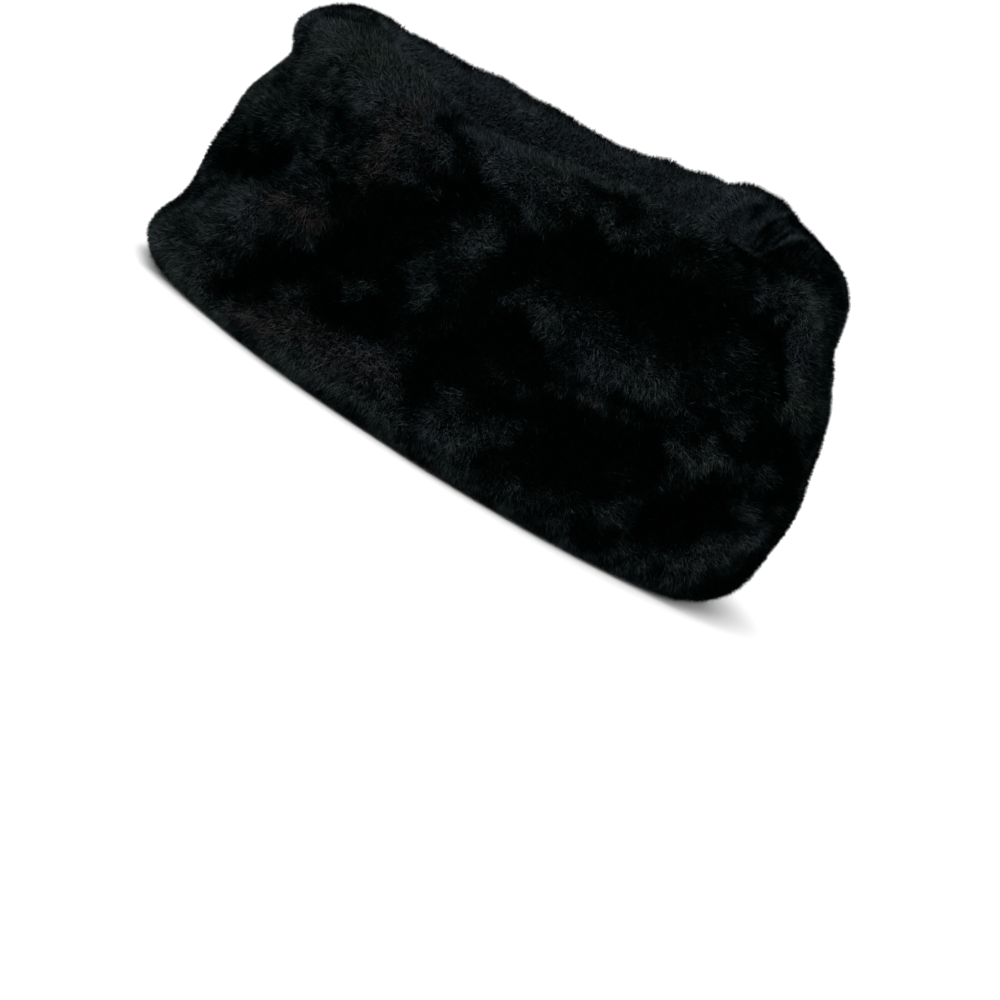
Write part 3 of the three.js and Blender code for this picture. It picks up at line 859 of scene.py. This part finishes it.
class Coat:
    """A grid of the ground that hairs are planted in: points, the way out, the ways across and
    along, and how light, ruffled, long and full the nap is, with its shares of each cast."""

    def __init__(self, points, fields):
        self.points = points
        across, along, out = grid_ways(points)
        self.layers = np.concatenate([points, out, across, along], axis=-1)
        self.names = list(fields)
        self.fields = np.stack([np.broadcast_to(fields[n], points.shape[:2]) for n in self.names], -1)

    def areas(self):
        """Area of each cell, as half its diagonals' cross product, times its fullness."""
        p = np.concatenate([self.points, self.points[:1]], axis=0)
        rising, falling = p[1:, 1:] - p[:-1, :-1], p[1:, :-1] - p[:-1, 1:]
        area = np.linalg.norm(np.cross(rising, falling), axis=-1) / 2
        return area * self.fields[:, :-1, self.names.index("fullness")]

    def plant(self, count, rng):
        """Random places, evenly by area and fullness, with everything there by bilinear mix."""
        area = self.areas()
        reach = np.cumsum(area.ravel())
        cell = np.searchsorted(reach, rng.uniform(0, reach[-1], count))
        cell = np.sort(np.minimum(cell, area.size - 1))
        i, k = np.divmod(cell, area.shape[1])
        u, v = rng.uniform(0, 1, (2, count))
        following = (i + 1) % len(self.points)
        corners = (
            ((1 - u) * (1 - v), i, k),
            (u * (1 - v), following, k),
            (u * v, following, k + 1),
            ((1 - u) * v, i, k + 1),
        )
        layers = sum(w[:, None] * self.layers[a, b] for w, a, b in corners)
        fields = sum(w[:, None] * self.fields[a, b] for w, a, b in corners)
        found = {name: fields[:, n] for n, name in enumerate(self.names)}
        found["section"] = i
        root, out, across, along = np.split(layers, 4, axis=1)
        found.update(root=root, out=unit(out), across=unit(across), along=unit(along))
        return found


def tufted(found, settings):
    """Adds each hair's tuft: the ground is split into cells with one jittered centre each, and
    the hairs of a cell share random leanings and lean to its centre."""
    size = settings.tuft_size / MM
    x, y = found["ground_x"] / size, found["ground_y"] / size
    cell_x, cell_y = np.floor(x).astype(int), np.floor(y).astype(int)
    random = np.random.default_rng(settings.seed + 1).uniform(-1, 1, (1024, 512, 6))
    own = random[cell_x % 1024, cell_y % 512]
    found["to_centre_x"] = (cell_x + 0.5 + TUFT_JITTER * own[:, 0] - x) * size
    found["to_centre_y"] = (cell_y + 0.5 + TUFT_JITTER * own[:, 1] - y) * size
    found["tuft_lean"], found["tuft_turn"] = own[:, 2], own[:, 3]
    found["tuft_light"], found["tuft_length"] = own[:, 4], own[:, 5]


def hairs(found, settings, rng):
    """Root-left, root-right and tip of each hair. A hair leans from the way out by its lean,
    towards the way that it goes in the ground. Its tip is pulled towards its tuft's centre, and
    kept on or above the floor."""
    count = len(found["root"])
    tufted(found, settings)
    lean = found["lean"] + TUFT_LEAN * found["tuft_lean"] + rng.normal(0, settings.ruffle / 3, count)
    lean = np.radians(np.clip(lean, 0, MOST_LEAN))
    way = np.arctan2(found["go_along"], found["go_across"])
    way += np.radians(TUFT_TURN * found["tuft_turn"] + rng.normal(0, settings.ruffle, count))
    spread = 1 + TUFT_LENGTHS * found["tuft_length"] + rng.normal(0, HAIR_LENGTHS, count)
    length = found["length"] * spread
    lying = found["across"] * np.cos(way)[:, None] + found["along"] * np.sin(way)[:, None]
    growth = found["out"] * np.cos(lean)[:, None] + lying * np.sin(lean)[:, None]
    pull = settings.tuft_pull * found["tufting"]
    tip = found["root"] + growth * length[:, None]
    tip += found["across"] * (pull * found["to_centre_x"])[:, None]
    tip += found["along"] * (pull * found["to_centre_y"])[:, None]
    tip[:, 2] = np.maximum(tip[:, 2], rng.uniform(*LOWEST_TIPS, count))
    root = found["root"] - ROOT_SUNK * found["out"]
    root[:, 2] = np.maximum(root[:, 2], LOWEST_ROOT)
    side = unit(np.cross(tip - root, rng.normal(0, 1, (count, 3))))
    width = settings.hair_width / MM * rng.uniform(*HAIR_WIDTHS, count) / 2
    return root - side * width[:, None], root + side * width[:, None], tip


def tone_numbers(found, settings, rng):
    """Finish of each hair. Its tone is the ground's brightness times its tuft's and its own
    chance, whose mean is kept, and paler where the hat shades itself, put on the ladder of tones
    with a dither of one step. Its cast is drawn from the ground's shares of moss, slate, faded
    and deep, and is otherwise cold."""
    at, brightness = np.array(BRIGHTNESS).T
    wanted = np.interp(found["light"], at, np.log(brightness)) - math.log(settings.received)
    wanted += settings.foot_gain * found["shade"]
    spread = found["contrast"]
    wanted += spread * settings.tuft_contrast * found["tuft_light"]
    wanted += spread * rng.normal(0, settings.hair_contrast, len(wanted))
    wanted -= (spread * settings.hair_contrast) ** 2 / 2
    ladder = np.log(tone_ladder(settings))
    step = (ladder[-1] - ladder[0]) / (len(ladder) - 1)
    place = (wanted - ladder[0]) / step + rng.uniform(-0.5, 0.5, len(wanted))
    tone = np.clip(np.rint(place), 0, len(ladder) - 1).astype(int)
    cast = np.full(len(wanted), CAST_NUMBER["cold"])
    for name in ("moss", "slate", "faded", "deep"):
        cast[rng.uniform(0, 1, len(wanted)) < found[name]] = CAST_NUMBER[name]
    return cast * len(ladder) + tone


def new_pile(name, found, chosen, settings, rng):
    """One piece of pile from the chosen places."""
    found = {key: value[chosen] for key, value in found.items()}
    left, right, tip = hairs(found, settings, rng)
    points = np.stack([left, right, tip], axis=1).reshape(-1, 3)
    count = len(left)
    tones = tone_numbers(found, settings, rng)
    corners, sizes = np.arange(3 * count), np.full(count, 3)
    return new_piece(name, points, corners, sizes, hair_tones(settings), tones, False)


def wandering(angle, girth):
    """Angles and girths moved by noise, so that what is drawn on them gets ragged borders."""
    across = 5 * band_lumps(angle, girth, 15, 61) + 2.6 * band_lumps(angle, girth, 6, 62)
    along = 5 * band_lumps(angle, girth, 15, 63) + 2.6 * band_lumps(angle, girth, 6, 64)
    return angle + across / MM_PER_DEGREE, girth + along


def painted_nap_light(angle, girth, fold, in_recess):
    """Lightness of the nap on the band, which paints light and shade into the hairs' colour: the
    table's patches with ragged borders, a little painted shade in the folds' hollows and painted
    light on their bulges, speckles that are strongest where a patch ends, and painted glints. The
    recess is evenly light outside the table's dark patches, which paint its shade."""
    strokes = band_strokes(NAP_SHEEN_AND_SHADE, "light", *wandering(angle, girth))
    patch = NAP_GROUND + strokes
    coarse = band_lumps(angle, girth, 9, 21)
    middling = band_lumps(angle, girth, 4.5, 22)
    fine = band_lumps(angle, girth, 2.2, 23)
    speckle = 0.3 * coarse + 0.35 * middling + 0.3 * fine
    # Painted glints: paler hairs where the middling and fine noise peak, fewer on dark nap
    painted_glint = np.clip(middling + fine - 0.7, 0, 1) * np.clip(1 + patch, 0, 1)
    # The folds paint a little shade into their hollows and light onto their bulges
    light = patch + fold / 14 + speckle * (1 - 0.4 * np.clip(np.abs(patch), 0, 1)) + 0.9 * painted_glint
    in_shade = 1.1 + 0.2 * coarse + np.minimum(strokes, 0) * (1 + 0.6 * coarse + 0.6 * middling)
    return light * (1 - in_recess) + in_shade * in_recess


def deep_share(light):
    """Share of green-black hairs: none where the nap is light, all of them where it is dark."""
    return np.clip(0.42 - 0.75 * light, 0, 1)


def band_coat(settings):
    """The band's ground, from the foot over the roll to the seam."""
    angle = rounds(PLANT_AROUND, PLANT_ROWS)
    wall, over_girth, down_girth = roll_at(angle)[3:]
    whole = wall + over_girth + down_girth
    girth = whole * np.linspace(0, 1, PLANT_ROWS)[None, :]
    points = band_skin_grid(angle, girth, settings.pile_depth / MM, settings.crush / MM)
    fold = band_strokes(FOLDS, "rise", angle, girth)
    in_recess = np.clip((girth - wall - over_girth) / RECESS_START, 0, 1)
    shaded = np.clip(1 - girth / FOOT_SHADE, 0, 1)
    light = painted_nap_light(angle, girth, fold, in_recess)
    brown = np.clip(band_strokes(NAP_SHEEN_AND_SHADE, "brown", *wandering(angle, girth)), 0, 1)
    hue = band_lumps(angle, girth, 16, 33) + 0.5 * band_lumps(angle, girth, 7, 34)
    swirl = band_lumps(angle, girth, 26, 31) + 0.5 * band_lumps(angle, girth, 11, 32)
    swirl = np.radians(55 * swirl)
    length = settings.pile_length / MM
    lying = np.clip(0.5 + 0.5 * light, 0, 1)
    lean = settings.lean_standing + (settings.lean_lying - settings.lean_standing) * lying
    fields = {
        "light": light,
        # Painted light: hairs paler up the shaded foot, more so in its deep shade, and a little in
        # the recess
        "shade": shaded + np.clip(1 - girth / FOOT_DEEP_SHADE, 0, 1) + 0.3 * in_recess,
        "contrast": 1 - 0.6 * in_recess,
        "deep": deep_share(light) * np.clip(girth / FOOT_SHADE, 0, 1),
        "faded": brown,
        "slate": np.clip(hue - 0.35, 0, 0.8) * (1 - in_recess) + 0.5 * in_recess,
        "moss": np.clip(-hue - 0.15, 0, 0.8),
        "lean": np.degrees(lean),
        "go_across": np.sin(swirl),
        "go_along": np.cos(swirl) * np.clip(1 - girth / FOOT_TURN, -1, 1),
        "length": length * (1 - 0.2 * in_recess) * np.clip(1.3 - girth / 20, 1, 1.3),
        "fullness": 1.0,
        "tufting": np.clip(1.1 - 0.3 * light, 0.6, 1.3) * (1 - 0.6 * in_recess),
        "ground_x": np.cumsum(np.full(angle.shape, 360 / PLANT_AROUND), axis=0) * MM_PER_DEGREE,
        "ground_y": girth,
    }
    return Coat(points, fields)


def crown_coat(settings):
    """The crown's ground, from its rim to its middle, with its nap towards the back."""
    angle = rounds(PLANT_AROUND, CROWN_PLANT_ROWS)
    share = np.broadcast_to(np.linspace(1, 0.004, CROWN_PLANT_ROWS)[None, :], angle.shape)
    points = crown_skin_grid(angle, share, settings.pile_depth / MM, settings.crush / MM)
    x, y = points[..., 0] + NOISE_SHIFT, points[..., 1] + NOISE_SHIFT
    speckle = lumps(x, y, 10, 41) + 0.6 * lumps(x, y, 5, 42)
    swirl = np.radians(35 * lumps(x, y, 30, 43))
    backward = np.stack([np.sin(swirl), np.cos(swirl), 0 * swirl], -1)
    light = 0.4 + 0.6 * lumps(x, y, 36, 44) + 0.3 * lumps(x, y, 18, 45) + 0.25 * speckle
    across, along = grid_ways(points)[:2]
    lean = settings.lean_standing + 0.85 * (settings.lean_lying - settings.lean_standing)
    fields = {
        "light": light,
        "shade": 0.0,
        "contrast": 0.8,
        "deep": deep_share(light),
        "faded": 0.0,
        "slate": 0.5,
        "moss": 0.2,
        "lean": math.degrees(lean),
        "go_across": (across * backward).sum(axis=-1),
        "go_along": (along * backward).sum(axis=-1),
        "length": settings.pile_length / MM,
        "fullness": 1.0,
        "tufting": 1.0,
        "ground_x": x,
        "ground_y": y,
    }
    return Coat(points, fields)


def hem_coat(settings):
    """The ground inside the hem, from its top down to the foot, and from there out under the
    foot, with a short nap that lies nearly flat under it."""
    angle = rounds(PLANT_AROUND, HEM_PLANT_ROWS)
    way = np.linspace(HEM_PILE_TOP, -HEM_PILE_TOP, HEM_PLANT_ROWS)
    way = np.broadcast_to(way[None, :], angle.shape)
    height, under = np.maximum(way, 0), np.maximum(-way, 0)
    points = hem_inside(angle, height)
    points[..., 2] = np.maximum(height, FLOOR_CLEAR)
    foot = band_skin_grid(angle, 0 * angle, settings.pile_depth / MM, settings.crush / MM)
    points += (foot - points) * (under / HEM_PILE_TOP)[..., None]
    speckle = band_lumps(angle, way + 50, 8, 51)
    swirl = np.radians(30 * band_lumps(angle, way + 50, 18, 52))
    fields = {
        "light": 0.1 + 0.4 * speckle,
        # Painted light: the hem's hairs a little paler against the shade that falls inside and under
        # it
        "shade": 0.15,
        "contrast": 1.0,
        "deep": 0.15,
        "faded": 0.15,
        "slate": 0.1,
        "moss": 0.3,
        "lean": 62 + 16 * np.minimum(under / 4, 1),
        "go_across": np.sin(swirl),
        "go_along": -np.cos(swirl),
        "length": settings.hem_length / MM,
        "fullness": np.clip((HEM_PILE_TOP - way) / 6, 0, 1),
        "tufting": 0.8,
        "ground_x": angle * MM_PER_DEGREE,
        "ground_y": way + 100,
    }
    return Coat(points, fields)


# Sizes and colours that may be changed


def number(name, description, default, low=0.0, high=1000.0, **kind):
    """A number between two limits, with its unit or subtype."""
    return bpy.props.FloatProperty(
        name=name, description=description, default=default, min=low, max=high, precision=5, **kind
    )


def metres(name, description, default, low=0.0, high=1000.0):
    """A length between two limits, in metres."""
    return number(name, description, default, low, high, unit="LENGTH")


def slant(name, description, degrees, low=-180, high=180):
    """An angle between two limits, given in degrees."""
    limits = math.radians(low), math.radians(high)
    return number(name, description, math.radians(degrees), *limits, subtype="ANGLE")


def share_of_one(name, description, default):
    """A share between 0 and 1."""
    return number(name, description, default, 0.0, 1.0, subtype="FACTOR")


def amount(name, description, default, low, high):
    """A whole number between two limits."""
    return bpy.props.IntProperty(
        name=name, description=description, default=default, min=low, max=high
    )


def tint(name, description, default):
    """A colour."""
    return bpy.props.FloatVectorProperty(
        name=name, description=description, default=default, subtype="COLOR", size=3, min=0, max=1
    )


class FURHAT_PG_skin(bpy.types.PropertyGroup):
    """Skin and inside cloth."""

    underwool: tint("Underwool", "Colour at the foot of the pile", (0.0016, 0.0018, 0.0019))
    cloth: tint("Inside cloth", "Colour of the plain cloth inside", (0.008, 0.008, 0.009))
    twill: number("Twill", "Ribs of the inside cloth in a decimetre", 28.0, 1.0)


class FURHAT_PG_pile(bpy.types.PropertyGroup):
    """The pile of the fur."""

    seed: amount("Seed", "Start of all chances in the pile", 7, 0, 100000)
    band_hairs: amount("Band hairs", "Hairs on the outside of the side band", 704000, 4, 790000)
    crown_hairs: amount("Crown hairs", "Hairs on the crown", 126000, 1, 199000)
    hem_hairs: amount("Hem hairs", "Hairs inside the hem and under the foot", 60000, 1, 199000)
    pile_depth: metres("Pile depth", "Depth of the skin below the fur's outline", 0.0019, 0, 0.02)
    pile_length: metres("Hair length", "Length of a hair of the pile", 0.0027, 0.001, 0.03)
    hem_length: metres("Hem hair length", "Length of a hair at the hem", 0.0024, 0.001, 0.01)
    hair_width: metres("Hair width", "Width of a hair at its root", 0.00033, 0.00002, 0.002)
    crush: metres("Crush", "Height of the soft lumps of crushed pile", 0.0009, 0, 0.005)
    lean_standing: slant("Standing lean", "Lean of the hairs where the nap stands", 24, 0, 80)
    lean_lying: slant("Lying lean", "Lean of the hairs where the nap lies", 54, 0, 80)
    tuft_size: metres("Tuft size", "Width of a tuft of hairs", 0.0014, 0.0005, 0.02)
    tuft_pull: share_of_one("Tuft pull", "How far hairs gather to the tip of their tuft", 0.12)
    ruffle: number(
        "Ruffle", "Spread of the ways that neighbouring hairs go, in degrees", 62.0, 0, 180
    )
    tones: amount("Tones", "Shades of hair from the darkest to the palest", 6, 3, 8)
    darkest: number("Darkest", "Brightness of the darkest hairs", 0.0008, 0.0001, 1)
    palest: number("Palest", "Brightness of the palest hairs", 0.06, 0.0002, 1)
    received: number(
        "Light received", "Share of a hair's brightness that shows in the pile", 0.6, 0.01, 10
    )
    foot_gain: number(
        "Foot gain", "How much paler the shaded foot's hairs are, as a ratio's logarithm", 1.2, 0, 4
    )
    tuft_contrast: number(
        "Tuft contrast", "How far tufts differ in brightness, as a ratio's logarithm", 0.25, 0, 2
    )
    hair_contrast: number(
        "Hair contrast", "How far hairs differ in brightness, as a ratio's logarithm", 1.0, 0, 2
    )
    hair_roughness: share_of_one("Hair roughness", "Roughness of a hair", 0.55)
    gloss: share_of_one("Gloss", "Specular level of the palest hairs", 0.12)


class FURHAT_PG_stage(bpy.types.PropertyGroup):
    """Camera, light and floor."""

    distance: metres("Distance", "From the camera to the point that it looks at", 1.8, 0.1)
    azimuth: slant("Azimuth", "Turn of the camera from the hat's front to its left", 90)
    elevation: slant("Elevation", "How steeply the camera looks down", 8)
    roll: slant("Roll", "Tilt of the camera, which shows the hat leaning back", 32.4)
    target: bpy.props.FloatVectorProperty(
        name="Target", description="Point in the middle of the picture",
        subtype="TRANSLATION", unit="LENGTH", size=3, default=(0, 0.033, -0.008),
    )
    lens: number("Lens", "Focal length in millimetres", 185.14, 1)
    surround: number("Surround", "Strength of the white light from all round", 1.1)
    key: number(
        "Key light", "Power of the large soft lamp above the camera", 26.0, unit="POWER"
    )
    fill: number("Top light", "Power of the large soft lamp over the hat", 12.0, unit="POWER")
    floor: tint("Floor", "Colour of the floor", (0.95, 0.95, 0.95))
    floor_size: metres("Floor size", "Half the floor's width", 60.0)


# Operators


class FURHAT_OT_band_skin(bpy.types.Operator):
    """Make the side band: the skin under the pile, the roll, the inside cloth and the hem"""

    bl_idname = "fur_hat.band_skin"
    bl_label = "Side band"

    def execute(self, context):
        pile, skin = context.scene.furhat_pile, context.scene.furhat_skin
        column = rounds(SKIN_AROUND, 1)
        wall, over_girth, down_girth = roll_at(column)[3:]
        girth = (wall + over_girth + down_girth) * np.linspace(0, 1, SKIN_ROWS)[None, :]
        angle = np.broadcast_to(column, girth.shape)
        outer = band_skin_grid(angle, girth, pile.pile_depth / MM, pile.crush / MM)
        foot = seam(column[:, 0], -CROWN_STEP - CROWN_THICKNESS)
        top = foot[:, 2] - ARCH_DROP
        arch = self.arch(foot, lining(column[:, 0], top))
        shoulder = HEM_INSIDE["height"][-1] + HEM_SHOULDER
        down = np.arange(1, LINING_ROWS + 1)[None, :] / LINING_ROWS
        height = top[:, None] * (1 - down) + shoulder * down
        inner = lining(np.broadcast_to(column, height.shape), height)
        hem_height = HEM_INSIDE["height"][::-1][None, :] + 0 * column
        hem = hem_inside(np.broadcast_to(column, hem_height.shape), hem_height)
        hem[..., 2] = np.maximum(hem[..., 2], FLOOR_CLEAR)
        points = np.concatenate([outer, foot[:, None], arch, inner, hem], axis=1)
        loops, cloth = sewn(points, True)
        row = np.arange(points.shape[1])
        in_cloth = (row >= SKIN_ROWS) & (row < points.shape[1] - len(HEM_INSIDE["height"]))
        finish_of_face = np.tile(in_cloth.astype(int), SKIN_AROUND)
        piece = new_piece(
            "band_skin", points.reshape(-1, 3), loops.ravel(), np.full(len(loops), 4),
            shell_finishes(skin), finish_of_face, True, cloth,
        )
        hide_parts(BAND)
        return {"FINISHED"}

    @staticmethod
    def arch(start, end):
        """Rounded inner corner: across by the sine and down by 1 minus the cosine of a quarter
        turn, from the seam's foot to the wall."""
        bend = np.arange(1, ARCH_ROWS + 1)[None, :, None] / ARCH_ROWS * math.pi / 2
        points = start[:, None] + (end - start)[:, None] * np.sin(bend)
        drop = (end - start)[:, None, 2:] * (1 - np.cos(bend))
        points[..., 2:] = start[:, None, 2:] + drop
        return points


class FURHAT_OT_crown_skin(bpy.types.Operator):
    """Make the crown: the skin under its pile, with plain cloth on its underside"""

    bl_idname = "fur_hat.crown_skin"
    bl_label = "Crown"

    def execute(self, context):
        pile, skin = context.scene.furhat_pile, context.scene.furhat_skin
        angle = rounds(SKIN_AROUND, UNDERSIDE_ROWS)
        share = np.arange(1, UNDERSIDE_ROWS + 1)[None, :] / UNDERSIDE_ROWS
        underside = crown_surface(angle, np.broadcast_to(share, angle.shape))
        underside[..., 2] -= CROWN_THICKNESS
        angle = rounds(SKIN_AROUND, CROWN_SKIN_ROWS)
        share = np.arange(CROWN_SKIN_ROWS, 0, -1)[None, :] / CROWN_SKIN_ROWS
        share = np.broadcast_to(share, angle.shape)
        top = crown_skin_grid(angle, share, pile.pile_depth / MM, pile.crush / MM)
        points = np.concatenate([underside, top], axis=1)
        loops, cloth = sewn(points, False)
        middle = crown_surface(np.zeros(1), np.zeros(1))[0]
        ends = np.stack([top[:, -1].mean(axis=0), middle - [0, 0, CROWN_THICKNESS]])
        rows = points.shape[1]
        i = np.arange(SKIN_AROUND)
        following = (i + 1) % SKIN_AROUND
        last = SKIN_AROUND * rows
        cap = np.stack([0 * i + last, i * rows + rows - 1, following * rows + rows - 1], -1)
        bottom = np.stack([0 * i + last + 1, following * rows, i * rows], -1)
        fans = np.concatenate([cap, bottom])
        in_cloth = np.tile(np.arange(rows - 1) < UNDERSIDE_ROWS, SKIN_AROUND)
        piece = new_piece(
            "crown_skin",
            np.concatenate([points.reshape(-1, 3), ends]),
            np.concatenate([loops.ravel(), fans.ravel()]),
            np.concatenate([np.full(len(loops), 4), np.full(len(fans), 3)]),
            shell_finishes(skin),
            np.concatenate([in_cloth, np.zeros(SKIN_AROUND), np.ones(SKIN_AROUND)]),
            True,
            np.concatenate([cloth, np.zeros((fans.size, 2))]),
        )
        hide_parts(CROWN)
        return {"FINISHED"}


class FURHAT_OT_band_pile(bpy.types.Operator):
    """Plant the pile on the side band, the roll and the recess, in four quarters"""

    bl_idname = "fur_hat.band_pile"
    bl_label = "Pile of the side band"

    def execute(self, context):
        pile = context.scene.furhat_pile
        rng = np.random.default_rng(pile.seed)
        found = band_coat(pile).plant(pile.band_hairs, rng)
        before_front = PLANT_AROUND * 7 // 8
        start = np.searchsorted(found["section"], before_front)
        order = np.roll(np.arange(pile.band_hairs), -start)
        for side, chosen in zip(("front", "left", "back", "right"), np.array_split(order, 4)):
            new_pile(f"pile_{side}", found, chosen, pile, rng)
        return {"FINISHED"}


class FURHAT_OT_crown_pile(bpy.types.Operator):
    """Plant the pile on the crown"""

    bl_idname = "fur_hat.crown_pile"
    bl_label = "Pile of the crown"

    def execute(self, context):
        pile = context.scene.furhat_pile
        rng = np.random.default_rng(pile.seed + 10)
        found = crown_coat(pile).plant(pile.crown_hairs, rng)
        new_pile("pile_crown", found, slice(None), pile, rng)
        return {"FINISHED"}


class FURHAT_OT_hem_pile(bpy.types.Operator):
    """Plant the short pile inside the turned-under hem and under its foot"""

    bl_idname = "fur_hat.hem_pile"
    bl_label = "Pile of the hem"

    def execute(self, context):
        pile = context.scene.furhat_pile
        rng = np.random.default_rng(pile.seed + 20)
        found = hem_coat(pile).plant(pile.hem_hairs, rng)
        new_pile("pile_hem", found, slice(None), pile, rng)
        return {"FINISHED"}


class FURHAT_OT_stage(bpy.types.Operator):
    """Make the pale floor, the soft light and the camera"""

    bl_idname = "fur_hat.stage"
    bl_label = "Stage"

    def execute(self, context):
        stage = context.scene.furhat_stage
        self.camera(context, stage)
        self.surround(context, stage)
        self.lamp("key_light", KEY_PLACE, stage.key)
        self.lamp("top_light", TOP_PLACE, stage.fill)
        self.floor(stage)
        context.scene.view_settings.view_transform = "Standard"
        return {"FINISHED"}

    @staticmethod
    def camera(context, stage):
        """The camera looks at its target from its distance, azimuth and elevation, rolled."""
        az, el, roll = stage.azimuth, stage.elevation, stage.roll
        back = Vector((math.cos(el) * math.sin(az), -math.cos(el) * math.cos(az), math.sin(el)))
        right = Vector((math.cos(az), math.sin(az), 0))
        up = back.cross(right)
        rolled_right = right * math.cos(roll) + up * math.sin(roll)
        rolled_up = up * math.cos(roll) - right * math.sin(roll)
        place = Vector(stage.target) + back * stage.distance
        columns = Matrix((rolled_right, rolled_up, back)).transposed()
        data = bpy.data.cameras.new("camera")
        data.lens = stage.lens
        data.clip_end = 4 * stage.floor_size
        camera = bpy.data.objects.new("camera", data)
        camera.matrix_world = Matrix.Translation(place) @ columns.to_4x4()
        context.scene.collection.objects.link(camera)
        context.scene.camera = camera

    @staticmethod
    def surround(context, stage):
        """White light from all round."""
        world = bpy.data.worlds.new("surround")
        world.use_nodes = True
        background = world.node_tree.nodes["Background"]
        background.inputs["Color"].default_value = (1, 1, 1, 1)
        background.inputs["Strength"].default_value = stage.surround
        context.scene.world = world

    @staticmethod
    def lamp(name, place, power):
        """A square soft lamp that looks at the hat."""
        data = bpy.data.lights.new(name, "AREA")
        data.size, data.energy = LAMP_SIZE, power
        lamp = bpy.data.objects.new(name, data)
        aim = (Vector(place) - Vector((0, 0, LAMP_AIM))).to_track_quat("Z", "Y")
        lamp.matrix_world = Matrix.Translation(place) @ aim.to_matrix().to_4x4()
        bpy.context.scene.collection.objects.link(lamp)

    @staticmethod
    def floor(stage):
        """A plain pale floor under the hem."""
        half = stage.floor_size
        corners = [(-half, -half, 0), (half, -half, 0), (half, half, 0), (-half, half, 0)]
        mesh = bpy.data.meshes.new("floor")
        mesh.from_pydata(corners, [], [(0, 1, 2, 3)])
        finish = Finish("floor_paint", 0.9, 0.1)
        place = finish.node("TexCoord", {}, {}, output="Object")
        cloud = finish.noise(place, 6.0, 2.0)
        pale, less = colour(stage.floor), colour(stage.floor, 0.985)
        finish.feed(finish.shader.inputs["Base Color"], finish.blend(cloud, pale, less))
        mesh.materials.append(finish.material)
        floor = bpy.data.objects.new("floor", mesh)
        bpy.context.scene.collection.objects.link(floor)


class FURHAT_PT_panel(bpy.types.Panel):
    """The hat's pieces and their sizes"""

    bl_idname = "FURHAT_PT_panel"
    bl_label = "Fur hat"
    bl_space_type = "VIEW_3D"
    bl_region_type = "UI"
    bl_category = "Fur hat"

    def draw(self, context):
        for operator in OPERATORS:
            self.layout.operator(operator.bl_idname)
        for group in GROUPS:
            box = self.layout.box()
            settings = getattr(context.scene, group)
            for name in settings.bl_rna.properties.keys():
                if name not in ("rna_type", "name"):
                    box.prop(settings, name)


GROUPS = {
    "furhat_skin": FURHAT_PG_skin,
    "furhat_pile": FURHAT_PG_pile,
    "furhat_stage": FURHAT_PG_stage,
}
OPERATORS = (
    FURHAT_OT_band_skin,
    FURHAT_OT_crown_skin,
    FURHAT_OT_band_pile,
    FURHAT_OT_crown_pile,
    FURHAT_OT_hem_pile,
    FURHAT_OT_stage,
)


def register():
    """Makes the property groups, operators and panel known."""
    for item in (*GROUPS.values(), *OPERATORS, FURHAT_PT_panel):
        bpy.utils.register_class(item)
    for name, group in GROUPS.items():
        setattr(bpy.types.Scene, name, bpy.props.PointerProperty(type=group))


def unregister():
    """Takes them out again."""
    for name in GROUPS:
        delattr(bpy.types.Scene, name)
    for item in reversed((*GROUPS.values(), *OPERATORS, FURHAT_PT_panel)):
        bpy.utils.unregister_class(item)


def main():
    """Builds the hat and its stage."""
    register()
    bpy.ops.fur_hat.stage()
    bpy.ops.fur_hat.band_skin()
    bpy.ops.fur_hat.crown_skin()
    bpy.ops.fur_hat.band_pile()
    bpy.ops.fur_hat.crown_pile()
    bpy.ops.fur_hat.hem_pile()


if __name__ == "__main__":
    main()
